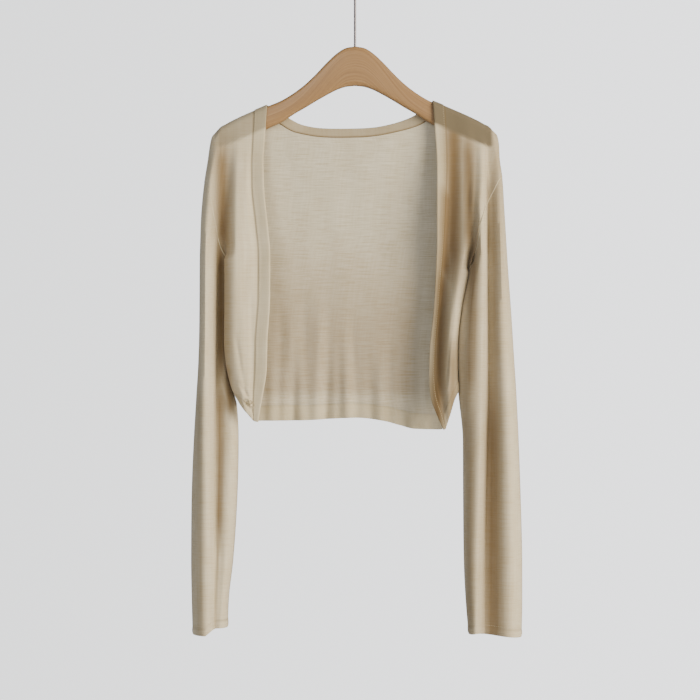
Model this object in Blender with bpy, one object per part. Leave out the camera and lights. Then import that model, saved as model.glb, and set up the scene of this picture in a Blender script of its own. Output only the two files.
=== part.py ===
"""Cropped open-front cardigan in fine knit, hanging on a wooden clothes hanger.

The garment is cut as a back, two narrow fronts and two long sleeves, with a
self band up both front edges and round the back neck and a hem band below.
Every piece is a thin wall. Its middle surface is worked out in "out" (sideways
distance from the hook's axis), "drop" (distance below the hanger's crown) and
"depth" (distance in front of, or behind, the hanger's middle plane).

Lengths are in millimetres here and become metres when a mesh is made.
The origin is the inside top of the hook, +Z is up and the fronts face -Y.
"""

import math

import bmesh
import bpy
import numpy as np

MM = 0.001

# ---------------------------------------------------------------- driving sizes
CLOTH = 1.2              # wall of the knit
BAND_CLOTH = 2.0         # wall of the doubled band and hems
CUFF_CLOTH = 2.0         # wall of the turned cuff edge
CUFF_TURN = 9.0          # height of the turned cuff edge
SEAM_GAP = 0.2           # each piece stops this short of a seam it crosses squarely
SLANT_GAP = 0.42         # the same at the hem and where front, back and sleeve meet
CORNER_GAP = 1.0         # the same towards both ends of the back's hem line
CORNER_SHARE = 0.22      # share of that line over which the gap widens

HANGER_THICK = 12.0
HANGER_ROUND = 6.0       # radius of the wood's long edges
HANGER_TIP_START = 174.0 # where the wood begins to thin towards its tip
HANGER_TIP_THIN = 0.94
CLOTH_LIFT = 1.8         # cloth's middle surface above the wood's top edge
TIP_LIFT = 1.2           # further lift past the wood's tip
TIP_LIFT_REACH = 10.0
OVER_WOOD = 8.0          # least depth of the cloth's middle surface beside the wood
SHOULDER_TURN = 9.0      # drop in which the cloth turns over the shoulder line

WIRE_RADIUS = 1.6
HOOK_INSIDE = 21.0       # inside radius of the hook
HOOK_START = math.radians(-65.0)
HOOK_END = math.radians(200.0)
SHANK_SHOWN = 68.0       # straight wire above the wood
SHANK_SUNK = 22.0
SHANK_BORE = 1.95

NECK_LEAN = 5.0          # how far the back neck band leans back at its free edge
HEM_WAVE = 3.5           # depth of the soft waves above the back hem
HEM_WAVE_PITCH = 50.0
HEM_WAVE_START = 385.0   # drop where the waves begin
HEM_WAVE_FULL = 505.0
HEM_WAVE_MIDDLE = -8.0   # x about which the waves lie
HEM_WAVE_REACH = 125.0   # they end this far to either side
HEM_WAVE_FADE = 30.0
HEM_RIPPLE_TIMES = 2.3   # smaller waves to each main one
OUTER_ROUND = 1.7        # superellipse power of a sleeve's outer edge
SIDE_ROUND = 2.0         # the same for side folds and a sleeve's inner edge
ARMPIT_BLEND = 26.0      # drop over which the armhole groove becomes two edges
SHOULDER_END_OUT = 184.0 # where the shoulder line starts to turn down
SHOULDER_END_DROP = 121.0
CHEST_SHORT = 12.0       # the evenly spaced chest rows end this far above the armpit
SIDES_MIX = 20.0         # half-width over which the back's two halves blend

LEFT = -1.0
RIGHT = 1.0
FRONT = -1.0
BACK = 1.0

# ------------------------------------------------------------------ the hanger
# out from the hook's axis, drop of the top edge, drop of the bottom edge
HANGER_COLUMNS = ("out", "top", "bottom")
HANGER_ROWS = (
    (0.0, 0.0, 53.7),
    (13.0, 2.4, 55.2),
    (25.0, 9.8, 59.3),
    (39.0, 22.8, 66.5),
    (53.0, 37.6, 74.5),
    (67.0, 51.0, 83.0),
    (82.0, 62.6, 91.6),
    (100.0, 73.6, 103.2),
    (119.0, 81.6, 112.2),
    (140.0, 90.6, 121.6),
    (160.0, 99.6, 130.6),
    (175.0, 107.6, 136.4),
    (184.0, 114.2, 138.8),
    (190.0, 123.0, 136.0),
)

# ---------------------------------------------------------------- the sleeves
# Each row is one level section. From the outer edge inwards a sleeve has its
# front ridge, two lines of a steep wall (a, b), an inner roll and its inner
# edge; "_d" columns give how far those lines stand in front of the middle
# plane. Above the armpit "inner" is the bottom of the armhole groove.
SLEEVE_COLUMNS = ("drop", "outer", "ridge", "wall_a", "wall_b", "roll", "inner",
                  "ridge_d", "wall_a_d", "wall_b_d", "roll_d", "inner_d", "back_d")
SLEEVE_ROWS = {
    LEFT: (
        (120.0, 193.4, 184.0, 179.0, 176.0, 173.0, 170.0, 8.0, 8.0, 8.0, 8.0, 8.0, 8.0),
        (131.0, 196.4, 186.0, 180.5, 177.0, 173.5, 170.5, 9.5, 9.0, 8.4, 8.4, 8.4, 9.5),
        (154.0, 199.8, 190.5, 183.0, 179.0, 175.0, 171.5, 16.0, 13.0, 9.5, 9.0, 9.0, 16.0),
        (184.0, 204.5, 195.0, 187.2, 183.0, 177.8, 173.5, 25.0, 20.5, 11.0, 9.0, 9.0, 25.0),
        (218.0, 208.1, 197.3, 188.4, 185.0, 180.2, 177.0, 32.0, 26.0, 9.5, 8.0, 8.0, 33.0),
        (239.0, 209.4, 199.1, 188.9, 186.0, 181.8, 179.1, 35.0, 29.0, 8.5, 7.0, 7.0, 37.0),
        (263.0, 210.1, 200.2, 189.3, 186.5, 182.2, 179.7, 38.0, 31.0, 7.5, 5.5, 5.0, 40.0),
        (288.0, 210.8, 200.6, 189.8, 187.0, 181.4, 175.4, 41.0, 33.0, 7.0, 5.0, 0.0, 43.0),
        (345.0, 211.1, 200.8, 190.6, 187.6, 181.0, 175.6, 42.0, 34.0, 5.0, 5.0, 0.0, 45.0),
        (399.0, 211.8, 201.2, 191.0, 188.0, 181.2, 176.1, 41.0, 33.0, 5.0, 6.0, 0.0, 44.0),
        (443.0, 213.5, 201.6, 191.2, 188.2, 179.0, 172.9, 40.0, 32.0, 6.0, 8.0, 0.0, 42.0),
        (466.0, 215.0, 201.7, 191.2, 188.2, 174.0, 167.4, 39.0, 31.5, 8.0, 11.0, 0.0, 40.5),
        (488.0, 216.3, 201.8, 191.3, 188.2, 169.0, 160.8, 38.0, 31.0, 11.0, 15.0, 0.0, 39.0),
        (535.0, 219.0, 202.0, 191.4, 188.3, 168.5, 158.6, 36.0, 30.0, 17.0, 20.0, 0.0, 36.0),
        (617.0, 222.0, 202.2, 191.6, 188.4, 171.7, 160.5, 34.0, 28.5, 21.0, 23.0, 0.0, 33.0),
        (698.0, 222.6, 202.3, 191.6, 188.6, 177.0, 165.9, 32.0, 27.0, 22.0, 24.0, 0.0, 30.0),
        (753.0, 221.7, 202.2, 191.4, 188.8, 181.4, 172.0, 31.0, 26.0, 22.0, 23.5, 0.0, 28.0),
        (803.0, 220.3, 201.6, 191.2, 188.8, 183.4, 173.4, 30.0, 25.0, 21.0, 22.5, 0.0, 27.0),
    ),
    RIGHT: (
        (120.0, 193.0, 186.0, 178.0, 174.0, 170.0, 164.0, 8.0, 8.0, 8.0, 8.0, 8.0, 8.0),
        (131.0, 195.2, 188.0, 179.0, 175.0, 170.5, 164.0, 8.8, 8.4, 9.0, 9.4, 9.0, 9.5),
        (154.0, 196.6, 191.5, 180.0, 176.5, 171.0, 163.0, 11.0, 10.2, 14.0, 16.0, 13.5, 16.0),
        (177.0, 199.9, 194.4, 180.1, 177.2, 171.4, 161.8, 16.0, 12.5, 19.0, 22.0, 18.0, 24.0),
        (218.0, 202.6, 195.0, 179.9, 176.4, 168.6, 160.2, 25.0, 15.0, 28.0, 31.0, 24.0, 33.0),
        (263.0, 205.4, 195.4, 179.4, 175.7, 169.2, 160.6, 33.0, 19.0, 35.0, 37.0, 19.0, 40.0),
        (307.0, 208.2, 196.2, 179.2, 175.4, 169.4, 153.9, 38.0, 22.0, 38.0, 40.0, 0.0, 44.0),
        (360.0, 212.0, 197.4, 179.7, 175.4, 168.6, 143.0, 39.0, 22.0, 38.0, 40.0, 0.0, 45.0),
        (420.0, 215.8, 199.3, 180.2, 175.2, 168.0, 138.4, 38.0, 20.0, 37.0, 39.0, 0.0, 43.0),
        (470.0, 219.0, 201.5, 180.4, 174.7, 167.6, 140.8, 36.0, 16.0, 34.5, 37.0, 0.0, 40.0),
        (535.0, 222.2, 203.6, 179.2, 173.0, 166.6, 146.9, 34.0, 11.0, 31.0, 35.0, 0.0, 36.0),
        (617.0, 225.1, 205.6, 177.6, 171.6, 165.0, 147.3, 32.0, 9.0, 26.0, 33.0, 0.0, 33.0),
        (698.0, 227.0, 206.5, 176.8, 170.6, 164.0, 148.2, 31.0, 10.0, 22.5, 31.0, 0.0, 31.0),
        (753.0, 227.1, 207.3, 176.4, 170.2, 163.6, 150.8, 30.0, 11.0, 21.5, 29.0, 0.0, 29.0),
        (803.0, 226.2, 209.0, 175.9, 169.6, 163.0, 155.0, 29.0, 12.0, 21.0, 28.0, 0.0, 28.0),
    ),
}
# drop of the armhole seam and of the cuff's edge on each line, outer to inner
SLEEVE_LINES = ("outer", "ridge", "wall_a", "wall_b", "roll", "inner")
ARMHOLE_DROP = {
    LEFT: (184.0, 200.0, 239.0, 260.0, 275.0, 288.0),
    RIGHT: (177.0, 183.0, 212.0, 219.0, 243.0, 307.0),
}
CUFF_DROP = {
    LEFT: (798.5, 798.5, 790.0, 789.0, 788.5, 788.5),
    RIGHT: (802.0, 800.0, 797.5, 796.0, 795.5, 798.0),
}

# ------------------------------------------------------------------ the fronts
# Each row is one level section, from the side inwards: side fold, body crest,
# valley, band seam and the band's free edge, with their depths in front.
# Above the armpit the side line is the bottom of the armhole groove, and its
# depth comes from the sleeve's rows.
BODY_COLUMNS = ("drop", "side", "crest", "valley", "seam", "edge",
                "crest_d", "valley_d", "seam_d", "edge_d", "back_d")
BODY_ROWS = {
    LEFT: (
        (78.0, 170.0, 157.0, 146.0, 136.6, 119.0, 8.0, 8.0, 8.0, 8.4, 8.0),
        (120.0, 170.0, 157.0, 146.5, 138.2, 121.8, 9.0, 8.8, 8.6, 9.6, 8.0),
        (154.0, 171.5, 158.5, 147.7, 139.7, 123.9, 13.5, 12.6, 11.5, 13.5, 10.5),
        (186.0, 173.5, 159.6, 147.5, 139.7, 123.4, 18.5, 17.0, 14.5, 17.5, 14.0),
        (240.0, 179.1, 160.0, 145.9, 134.5, 118.2, 25.0, 22.5, 19.5, 22.5, 20.0),
        (288.0, 173.3, 160.3, 144.3, 130.3, 114.3, 29.0, 26.0, 23.0, 26.5, 25.0),
        (345.0, 173.2, 160.2, 144.2, 130.8, 114.5, 32.0, 29.0, 26.0, 29.5, 28.0),
        (399.0, 173.6, 159.5, 145.4, 134.3, 117.8, 33.0, 31.0, 28.0, 31.5, 30.0),
        (442.0, 169.4, 157.0, 145.4, 135.0, 119.1, 34.0, 32.0, 29.0, 32.0, 31.0),
        (486.0, 155.9, 149.0, 143.2, 137.4, 126.5, 33.0, 32.0, 30.0, 32.0, 31.0),
        (511.0, 146.0, 142.0, 139.0, 136.4, 130.3, 32.0, 31.5, 30.5, 32.0, 31.0),
    ),
    RIGHT: (
        (72.0, 164.0, 153.0, 135.7, 120.3, 105.0, 8.0, 8.0, 8.0, 8.4, 8.0),
        (120.0, 164.0, 153.0, 132.5, 123.0, 108.6, 9.0, 8.1, 8.2, 10.4, 8.0),
        (154.0, 163.0, 153.0, 130.0, 124.0, 110.5, 13.0, 8.6, 9.6, 14.6, 10.5),
        (186.0, 161.6, 152.6, 127.5, 123.2, 110.8, 17.0, 9.0, 10.6, 18.6, 14.0),
        (220.0, 160.2, 151.3, 126.1, 121.9, 110.4, 20.5, 9.2, 11.6, 21.8, 18.0),
        (264.0, 160.6, 149.6, 123.6, 119.9, 110.6, 25.0, 9.4, 12.0, 20.0, 23.0),
        (307.0, 151.8, 142.1, 120.0, 116.6, 109.3, 28.0, 9.6, 11.0, 13.5, 26.0),
        (360.0, 140.9, 133.6, 115.2, 112.4, 106.4, 30.0, 9.8, 10.8, 11.5, 28.5),
        (411.0, 136.0, 128.8, 111.2, 108.0, 101.3, 31.0, 10.5, 11.0, 11.0, 30.0),
        (447.0, 136.0, 127.5, 110.8, 107.2, 100.3, 31.0, 14.0, 13.5, 12.0, 31.0),
        (474.0, 137.6, 127.4, 113.2, 109.2, 101.6, 31.0, 21.0, 19.5, 17.0, 31.0),
        (494.0, 132.8, 127.0, 119.6, 115.4, 107.8, 30.6, 27.0, 26.0, 24.0, 31.0),
        (521.0, 128.4, 126.4, 124.6, 122.8, 119.4, 30.4, 29.6, 29.4, 29.2, 31.0),
    ),
}
BODY_LINES = ("side", "crest", "valley", "seam", "edge")
# how the back takes its depths from the sleeve's back_d and its own back_d
BACK_SHARE = {"ridge": 1.0, "wall_a": 0.96, "wall_b": 0.92, "roll": 0.80, "inner": 0.70,
              "side": 0.70}

# lower corner of each front at the band seam, and of each side seam
FRONT_CORNER_DROP = {LEFT: 508.5, RIGHT: 519.0}
SIDE_CORNER_DROP = {LEFT: 486.0, RIGHT: 470.0}

# back hem: sideways place, drop of its lower edge
HEM_COLUMNS = ("x", "drop")
HEM_ROWS = (
    (-155.9, 486.0),
    (-147.0, 499.0),
    (-133.0, 510.0),
    (-75.0, 509.5),
    (0.0, 506.0),
    (41.0, 510.5),
    (61.0, 516.0),
    (82.0, 521.0),
    (118.0, 522.0),
    (129.0, 506.0),
    (137.6, 470.0),
)

# back neck: x, drop of the band seam and of the band's free edge
NECK_COLUMNS = ("x", "drop")
NECK_SEAM_ROWS = (
    (-136.6, 87.6), (-126.0, 92.6), (-101.6, 105.4), (-94.0, 111.0), (-84.0, 115.4),
    (-55.0, 121.9), (-28.0, 123.6), (0.0, 123.2), (22.0, 122.2), (44.0, 118.6),
    (63.0, 114.2), (82.0, 109.0), (93.0, 103.8), (108.0, 90.6), (120.3, 80.6),
)
NECK_EDGE_ROWS = (
    (-119.0, 80.1), (-110.0, 84.0), (-98.0, 91.0), (-89.8, 96.8), (-78.7, 103.2),
    (-55.0, 109.0), (-28.0, 110.6), (0.0, 110.3), (24.0, 109.1), (43.7, 105.7),
    (58.0, 102.0), (72.4, 97.2), (83.8, 91.2), (94.0, 83.6), (105.0, 74.8),
)

# --------------------------------------------------------------- mesh fineness
ARM_STEPS = (3, 2, 2, 2, 3)      # steps across each part of a sleeve's section
SIDE_STEPS = 9                   # rows down the side seam
HEM_STEP = 16.0                  # height of the hem band
SLEEVE_ROWS_N = 20
SLEEVE_ROW_POWER = 1.15          # rows lie closer together near the armhole
PATH_STEPS = 24                  # points along a shoulder line
FALL_STEPS = 12                  # points down over its end
FRONT_ARM_REACH = 0.2            # share of a front that follows the armhole's depth
BACK_ARM_REACH = 0.1
BACK_EVEN = 0.45                 # how evenly the back's columns are spaced
WOOD_STEPS = 18                  # sections from the hook to where a tip begins
WOOD_TIP_STEPS = 5
WOOD_TIP_FIRST = 178.0
WOOD_ROUND_SHARE = 0.45          # widest rounding as a share of the wood's height
HOOK_STEPS = 24
BEND_STEPS = 5
FRONT_ACROSS = (0.0, 0.05, 0.12, 0.21, 0.31, 0.40, 0.47, 0.53, 0.59, 0.67, 0.77, 0.87,
                0.95, 1.0)
BAND_STEPS = 2                   # steps across a band
BAND_TURN = 120.0                # drop in which a band's rows come level
BAND_POINT = 1.5                 # how far a band's lower corner hangs lower
BACK_LENGTH = 390.0
BACK_NECK_STEPS = 20
NECK_END_SHARES = (0.0, 0.007, 0.02, 0.036, 0.06)
TOP_OFFSETS = (0.0, 1.2, 4.4, 9.0)


# ------------------------------------------------------------- small functions
def column(rows, names, name):
    """One named column of a table, as an array."""
    return np.array([row[names.index(name)] for row in rows])


def smooth(at, knots, values):
    """Smooth curve through (knots, values) without overshoot, read at `at`."""
    knots = np.asarray(knots, dtype=float)
    values = np.asarray(values, dtype=float)
    pitch = np.diff(values) / np.diff(knots)
    slopes = np.concatenate([pitch[:1], 0.5 * (pitch[1:] + pitch[:-1]), pitch[-1:]])
    turning = np.sign(pitch[1:]) * np.sign(pitch[:-1]) <= 0
    limit = 2.0 * np.minimum(np.abs(pitch[1:]), np.abs(pitch[:-1]))
    middle = np.clip(slopes[1:-1], -limit, limit)
    slopes[1:-1] = np.where(turning, 0.0, middle)
    at = np.asarray(at, dtype=float)
    low = np.clip(np.searchsorted(knots, at) - 1, 0, len(knots) - 2)
    span = knots[low + 1] - knots[low]
    q = np.clip((at - knots[low]) / span, 0.0, 1.0)
    start = (1.0 + 2.0 * q) * (1.0 - q) ** 2 * values[low]
    end = q ** 2 * (3.0 - 2.0 * q) * values[low + 1]
    leave = q * (1.0 - q) ** 2 * span * slopes[low]
    arrive = q ** 2 * (q - 1.0) * span * slopes[low + 1]
    return start + end + leave + arrive


def ease(q):
    """Soft step from 0 to 1 as q goes from 0 to 1."""
    q = np.clip(q, 0.0, 1.0)
    return q * q * (3.0 - 2.0 * q)


def edge_round(q, power):
    """Quarter superellipse: 1 at q = 0 falling to 0 at q = 1."""
    q = np.clip(q, 0.0, 1.0)
    return np.maximum(1.0 - q ** power, 0.0) ** (1.0 / power)


def hanger_top(out):
    """Drop of the wood's top edge."""
    return smooth(np.abs(out), column(HANGER_ROWS, HANGER_COLUMNS, "out"),
                  column(HANGER_ROWS, HANGER_COLUMNS, "top"))


def hanger_bottom(out):
    """Drop of the wood's bottom edge."""
    return smooth(np.abs(out), column(HANGER_ROWS, HANGER_COLUMNS, "out"),
                  column(HANGER_ROWS, HANGER_COLUMNS, "bottom"))


def shoulder_drop(out):
    """Drop of the shoulder line, where the cloth lies over the wood."""
    tip = ease((np.abs(out) - HANGER_TIP_START) / TIP_LIFT_REACH)
    return hanger_top(out) - CLOTH_LIFT - TIP_LIFT * tip


def sleeve_value(side, name, drop):
    """A sleeve column read at `drop`."""
    rows = SLEEVE_ROWS[side]
    return smooth(drop, column(rows, SLEEVE_COLUMNS, "drop"), column(rows, SLEEVE_COLUMNS, name))


def body_value(side, name, drop):
    """A body column read at `drop`."""
    rows = BODY_ROWS[side]
    return smooth(drop, column(rows, BODY_COLUMNS, "drop"), column(rows, BODY_COLUMNS, name))


def line_depth(side, face, name, drop):
    """Depth of a named line, in front or behind."""
    if name in BODY_LINES[1:]:
        if face == FRONT:
            return body_value(side, name + "_d", drop)
        return body_value(side, "back_d", drop)
    if face == FRONT:
        return sleeve_value(side, name.replace("side", "inner") + "_d", drop)
    depth = BACK_SHARE[name] * sleeve_value(side, "back_d", drop)
    if name in ("inner", "side"):
        return np.maximum(depth, OVER_WOOD) * (1.0 - armpit_share(side, drop))
    return np.maximum(depth, OVER_WOOD)


def armpit_share(side, drop):
    """0 above the armpit, 1 below it, with a soft change just above it."""
    return ease((drop - ARMHOLE_DROP[side][-1] + ARMPIT_BLEND) / ARMPIT_BLEND)


def turn_to_edge(q, high, low, below):
    """Fall from `high` at q = 0 to `low` at q = 1: a soft slope above the
    armpit (below = 0), a rounded edge under it (below = 1)."""
    soft = high + (low - high) * ease(q)
    rounded = low + (high - low) * edge_round(q, SIDE_ROUND)
    return soft + (rounded - soft) * below


def top_turn(out, drop):
    """Share of the depth left where the cloth turns over the shoulder line."""
    q = np.clip((drop - shoulder_drop(out)) / SHOULDER_TURN, 0.0, 1.0)
    return np.sqrt(1.0 - (1.0 - q) ** 2)


def sleeve_depth(side, face, out, drop):
    """Depth of the sleeve's surface at `out`, from its named lines."""
    lines = [sleeve_value(side, name, drop) for name in SLEEVE_LINES]
    depths = [None] + [line_depth(side, face, name, drop) for name in SLEEVE_LINES[1:]]
    q = (out - lines[1]) / (lines[0] - lines[1])
    depth = depths[1] * edge_round(q, OUTER_ROUND)
    for k in (1, 2, 3):
        q = (out - lines[k]) / (lines[k + 1] - lines[k])
        depth = depth + (depths[k + 1] - depths[k]) * ease(q)
    q = np.clip((out - lines[4]) / (lines[5] - lines[4]), 0.0, 1.0)
    below = armpit_share(side, drop)
    return depth + turn_to_edge(q, depths[4], depths[5], below) - depths[4]


def body_depth(side, face, out, drop):
    """Depth of the body's surface at `out`, band edge to armhole or side."""
    lines = [body_value(side, name, drop) for name in BODY_LINES]
    depths = [line_depth(side, face, name, drop) for name in BODY_LINES]
    depth = depths[4]
    for k in (3, 2, 1):
        q = (out - lines[k + 1]) / (lines[k] - lines[k + 1])
        depth = depth + (depths[k] - depths[k + 1]) * ease(q)
    below = armpit_share(side, drop)
    q = np.clip((out - lines[1]) / (lines[0] - lines[1]), 0.0, 1.0)
    depth = depth + turn_to_edge(q, depths[1], depths[0], below) - depths[1]
    past_groove = (out > lines[0]) & (below < 1.0)
    return np.where(past_groove, sleeve_depth(side, face, out, drop), depth)


def place(side, face, out, drop, depth):
    """World millimetres from out, drop and depth."""
    crown_z = -hook_height()
    return np.stack([side * out, face * depth, crown_z - drop], axis=-1)


def hook_height():
    """Height of the hook's inside top above the hanger's crown."""
    return SHANK_SHOWN + hook_bend_height() + HOOK_INSIDE


def hook_bend_height():
    """Height of the hook's centre above the top of the straight shank."""
    wire_circle = HOOK_INSIDE + WIRE_RADIUS
    bend = wire_circle * math.cos(HOOK_START) / (1.0 - math.cos(HOOK_START))
    return bend * math.sin(-HOOK_START) + wire_circle * math.sin(-HOOK_START)


# ------------------------------------------------------------------ wall making
class Cloth:
    """A grid of middle points with an outward direction at each of them.
    `ring` joins its last column to its first."""

    def __init__(self, grid, ring=False):
        self.grid = grid
        self.ring = ring
        if ring:
            wide = np.concatenate([grid[:, -1:], grid, grid[:, :1]], axis=1)
            across = wide[:, 2:] - wide[:, :-2]
        else:
            across = unit_steps(grid.transpose(1, 0, 2)).transpose(1, 0, 2)
        normal = np.cross(across, unit_steps(grid))
        self.normal = normal / np.linalg.norm(normal, axis=-1, keepdims=True)

    def piece(self, rows, cols):
        """Part of the cloth that keeps the directions of the whole."""
        part = object.__new__(Cloth)
        part.grid = self.grid[rows, cols].copy()
        part.normal = self.normal[rows, cols]
        part.ring = self.ring
        return part

    def stop_short(self, which, distance):
        """Move one border inwards along the grid's lines."""
        picks = {"top": (np.s_[0], np.s_[1]), "bottom": (np.s_[-1], np.s_[-2]),
                 "first": (np.s_[:, 0], np.s_[:, 1]), "last": (np.s_[:, -1], np.s_[:, -2])}
        border, inner = picks[which]
        step = self.grid[inner] - self.grid[border]
        length = np.linalg.norm(step, axis=-1)
        self.grid[border] = self.grid[border] + step * (distance / length)[:, None]
        return self

    def wall(self, name, thickness, colour):
        """Closed wall of the given thickness about the middle points."""
        rows, cols = self.grid.shape[:2]
        lift = self.normal * np.reshape(thickness, (-1, 1, 1)) * 0.5
        points = np.concatenate([(self.grid + lift).reshape(-1, 3),
                                 (self.grid - lift).reshape(-1, 3)])
        layer = rows * cols
        index = np.arange(layer).reshape(rows, cols)
        if self.ring:
            index = np.concatenate([index, index[:, :1]], axis=1)
        a, b = index[:-1, :-1].ravel(), index[:-1, 1:].ravel()
        c, d = index[1:, 1:].ravel(), index[1:, :-1].ravel()
        faces = np.concatenate([np.stack([a, b, c], 1), np.stack([a, c, d], 1)])
        faces = np.concatenate([faces, faces[:, ::-1] + layer])
        borders = [index[0, ::-1], index[-1]]
        if not self.ring:
            borders += [index[:, 0], index[::-1, -1]]
        for border in borders:
            p, q = border[:-1], border[1:]
            rim = np.concatenate([np.stack([p, q, q + layer], 1),
                                  np.stack([p, q + layer, p + layer], 1)])
            faces = np.concatenate([faces, rim])
        return make_object(name, points, faces.tolist(), colour)


def unit_steps(grid):
    """Direction of the grid down its rows: the mean of the two unit steps at
    each point, so that a seam's end faces split the angle between pieces."""
    step = np.diff(grid, axis=0)
    step = step / np.maximum(np.linalg.norm(step, axis=-1, keepdims=True), 1e-6)
    return np.concatenate([step[:1], step[1:] + step[:-1], step[-1:]])


def join(first, first_at, second, second_at):
    """Give two cloths one common direction along the seam they share."""
    mean = first.normal[first_at] + second.normal[second_at]
    mean = mean / np.linalg.norm(mean, axis=-1, keepdims=True)
    first.normal[first_at] = mean
    second.normal[second_at] = mean


def make_object(name, points, faces, colour):
    """Mesh object in metres with outward faces, smooth shading and a material."""
    mesh = bpy.data.meshes.new(name)
    mesh.from_pydata((np.asarray(points) * MM).tolist(), [], faces)
    shape = bmesh.new()
    shape.from_mesh(mesh)
    bmesh.ops.recalc_face_normals(shape, faces=shape.faces)
    shape.to_mesh(mesh)
    shape.free()
    mesh.shade_smooth()
    mesh.set_sharp_from_angle(angle=math.radians(50.0))
    thing = bpy.data.objects.new(name, mesh)
    bpy.context.scene.collection.objects.link(thing)
    mesh.materials.append(material(name + "_finish", *colour))
    return thing


def material(name, rgb, roughness, metallic):
    """Principled material with one colour."""
    made = bpy.data.materials.new(name)
    made.use_nodes = True
    shader = made.node_tree.nodes["Principled BSDF"]
    shader.inputs["Base Color"].default_value = (*rgb, 1.0)
    shader.inputs["Roughness"].default_value = roughness
    shader.inputs["Metallic"].default_value = metallic
    return made


KNIT = ((0.56, 0.48, 0.35), 0.9, 0.0)
WOOD = ((0.42, 0.26, 0.12), 0.5, 0.0)
STEEL = ((0.16, 0.15, 0.15), 0.35, 1.0)


# ------------------------------------------------------------------- the pieces
def sleeve_samples():
    """(line number, share) pairs across a sleeve's section, outer to inner.
    The outer and inner parts are spaced by angle so that they stay round."""
    samples = [(0, 0.0)]
    for part, steps in enumerate(ARM_STEPS):
        for step in range(1, steps + 1):
            share = step / steps
            if part == 0:
                share = 1.0 - math.cos(share * math.pi / 2.0)
            if part == len(ARM_STEPS) - 1:
                share = math.sin(share * math.pi / 2.0)
            samples.append((part, share))
    return samples


def sleeve_line(side, face, part, share, drop):
    """Points down one line of a sleeve."""
    start = sleeve_value(side, SLEEVE_LINES[part], drop)
    end = sleeve_value(side, SLEEVE_LINES[part + 1], drop)
    out = start + share * (end - start)
    depth = sleeve_depth(side, face, out, drop) * top_turn(out, drop)
    return place(side, face, out, drop, depth)


def line_drop(drops, part, share):
    """Drop on a sleeve line between two named ones."""
    return drops[part] + share * (drops[part + 1] - drops[part])


def armhole_curve(side, face):
    """Points of the armhole seam, shoulder to armpit."""
    points = []
    for part, share in sleeve_samples():
        drop = line_drop(ARMHOLE_DROP[side], part, share)
        points.append(sleeve_line(side, face, part, share, np.array([drop]))[0])
    return np.array(points)


def sleeve_grid(side):
    """Rings of a sleeve from the armhole to the cuff."""
    along = np.linspace(0.0, 1.0, SLEEVE_ROWS_N) ** SLEEVE_ROW_POWER
    lines = []
    samples = sleeve_samples()
    ring = [(FRONT, sample) for sample in samples]
    ring += [(BACK, sample) for sample in samples[-2:0:-1]]
    for face, (part, share) in ring:
        start = line_drop(ARMHOLE_DROP[side], part, share)
        end = line_drop(CUFF_DROP[side], part, share)
        drop = start + (end - CUFF_TURN - start) * along
        drop = np.append(drop, end)
        lines.append(sleeve_line(side, face, part, share, drop))
    return np.stack(lines, axis=1)


def row_drops(side, first, last):
    """Drops of the rows down a front's band seam: close together where the
    cloth turns over the shoulder, even to the armpit, even to the hem."""
    arm_rows = len(sleeve_samples()) - 1
    armpit = ARMHOLE_DROP[side][-1] - CHEST_SHORT
    turn = [first + offset for offset in TOP_OFFSETS]
    chest = np.linspace(turn[-1], armpit, arm_rows - len(TOP_OFFSETS) + 2)[1:]
    waist = np.linspace(armpit, last - HEM_STEP, SIDE_STEPS + 1)[1:]
    return np.concatenate([turn, chest, waist, [last]])


def patch(top, bottom, first, last, across, down):
    """Surface between four border curves: each point adds what its row ends
    and its column ends ask for and takes away the corners once."""
    u = across.reshape(1, -1, 1)
    v = down.reshape(-1, 1, 1)
    edges = (1 - v) * top[None] + v * bottom[None] + (1 - u) * first[:, None] + u * last[:, None]
    corners = ((1 - u) * (1 - v) * top[0] + u * (1 - v) * top[-1]
               + (1 - u) * v * bottom[0] + u * v * bottom[-1])
    return edges - corners


def shoulder_path(side, start_out):
    """(out, drop) from the neck along the shoulder and down over its end."""
    along = np.linspace(start_out, SHOULDER_END_OUT, PATH_STEPS)
    over = np.stack([along, shoulder_drop(along)], 1)
    falls = np.linspace(SHOULDER_END_DROP, ARMHOLE_DROP[side][0], FALL_STEPS)
    down = np.stack([sleeve_value(side, "outer", falls), falls], 1)
    return np.concatenate([over, down])


def resample(path, shares):
    """Points at given shares of a polyline's length."""
    lengths = np.linalg.norm(np.diff(path, axis=0), axis=1)
    reach = np.concatenate([[0.0], np.cumsum(lengths)])
    at = np.asarray(shares) * reach[-1]
    return np.stack([np.interp(at, reach, path[:, k]) for k in range(path.shape[1])], 1)


def outer_border(side, face):
    """(out, drop) down the armhole seam and then the side seam."""
    arm = armhole_curve(side, face)
    arm_drop = -hook_height() - arm[:, 2]
    room = np.linspace(0.0, 1.0, len(arm)) ** 2
    apart = sleeve_value(side, "inner", arm_drop[-1]) - body_value(side, "side", arm_drop[-1])
    gap_in = room * apart
    arm = np.stack([np.abs(arm[:, 0]) - gap_in, arm_drop], 1)
    falls = np.linspace(arm_drop[-1], SIDE_CORNER_DROP[side] - HEM_STEP, SIDE_STEPS + 1)[1:]
    falls = np.append(falls, SIDE_CORNER_DROP[side])
    down = np.stack([body_value(side, "side", falls), falls], 1)
    return np.concatenate([arm, down])


def front_flat(side):
    """(out, drop) grid of a front, band seam to armhole and side seam."""
    across = np.array(FRONT_ACROSS)
    seam_top = float(body_value(side, "seam", 0.0))
    top_drop = float(shoulder_drop(seam_top))
    drops = row_drops(side, top_drop, FRONT_CORNER_DROP[side])
    first = np.stack([body_value(side, "seam", drops), drops], 1)
    last = outer_border(side, FRONT)
    first[0, 0] = seam_top
    top = resample(shoulder_path(side, seam_top), across)
    bottom = resample(np.stack([first[-1], last[-1]]), across)
    down = (drops - drops[0]) / (drops[-1] - drops[0])
    return patch(top, bottom, first, last, across, down)


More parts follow.
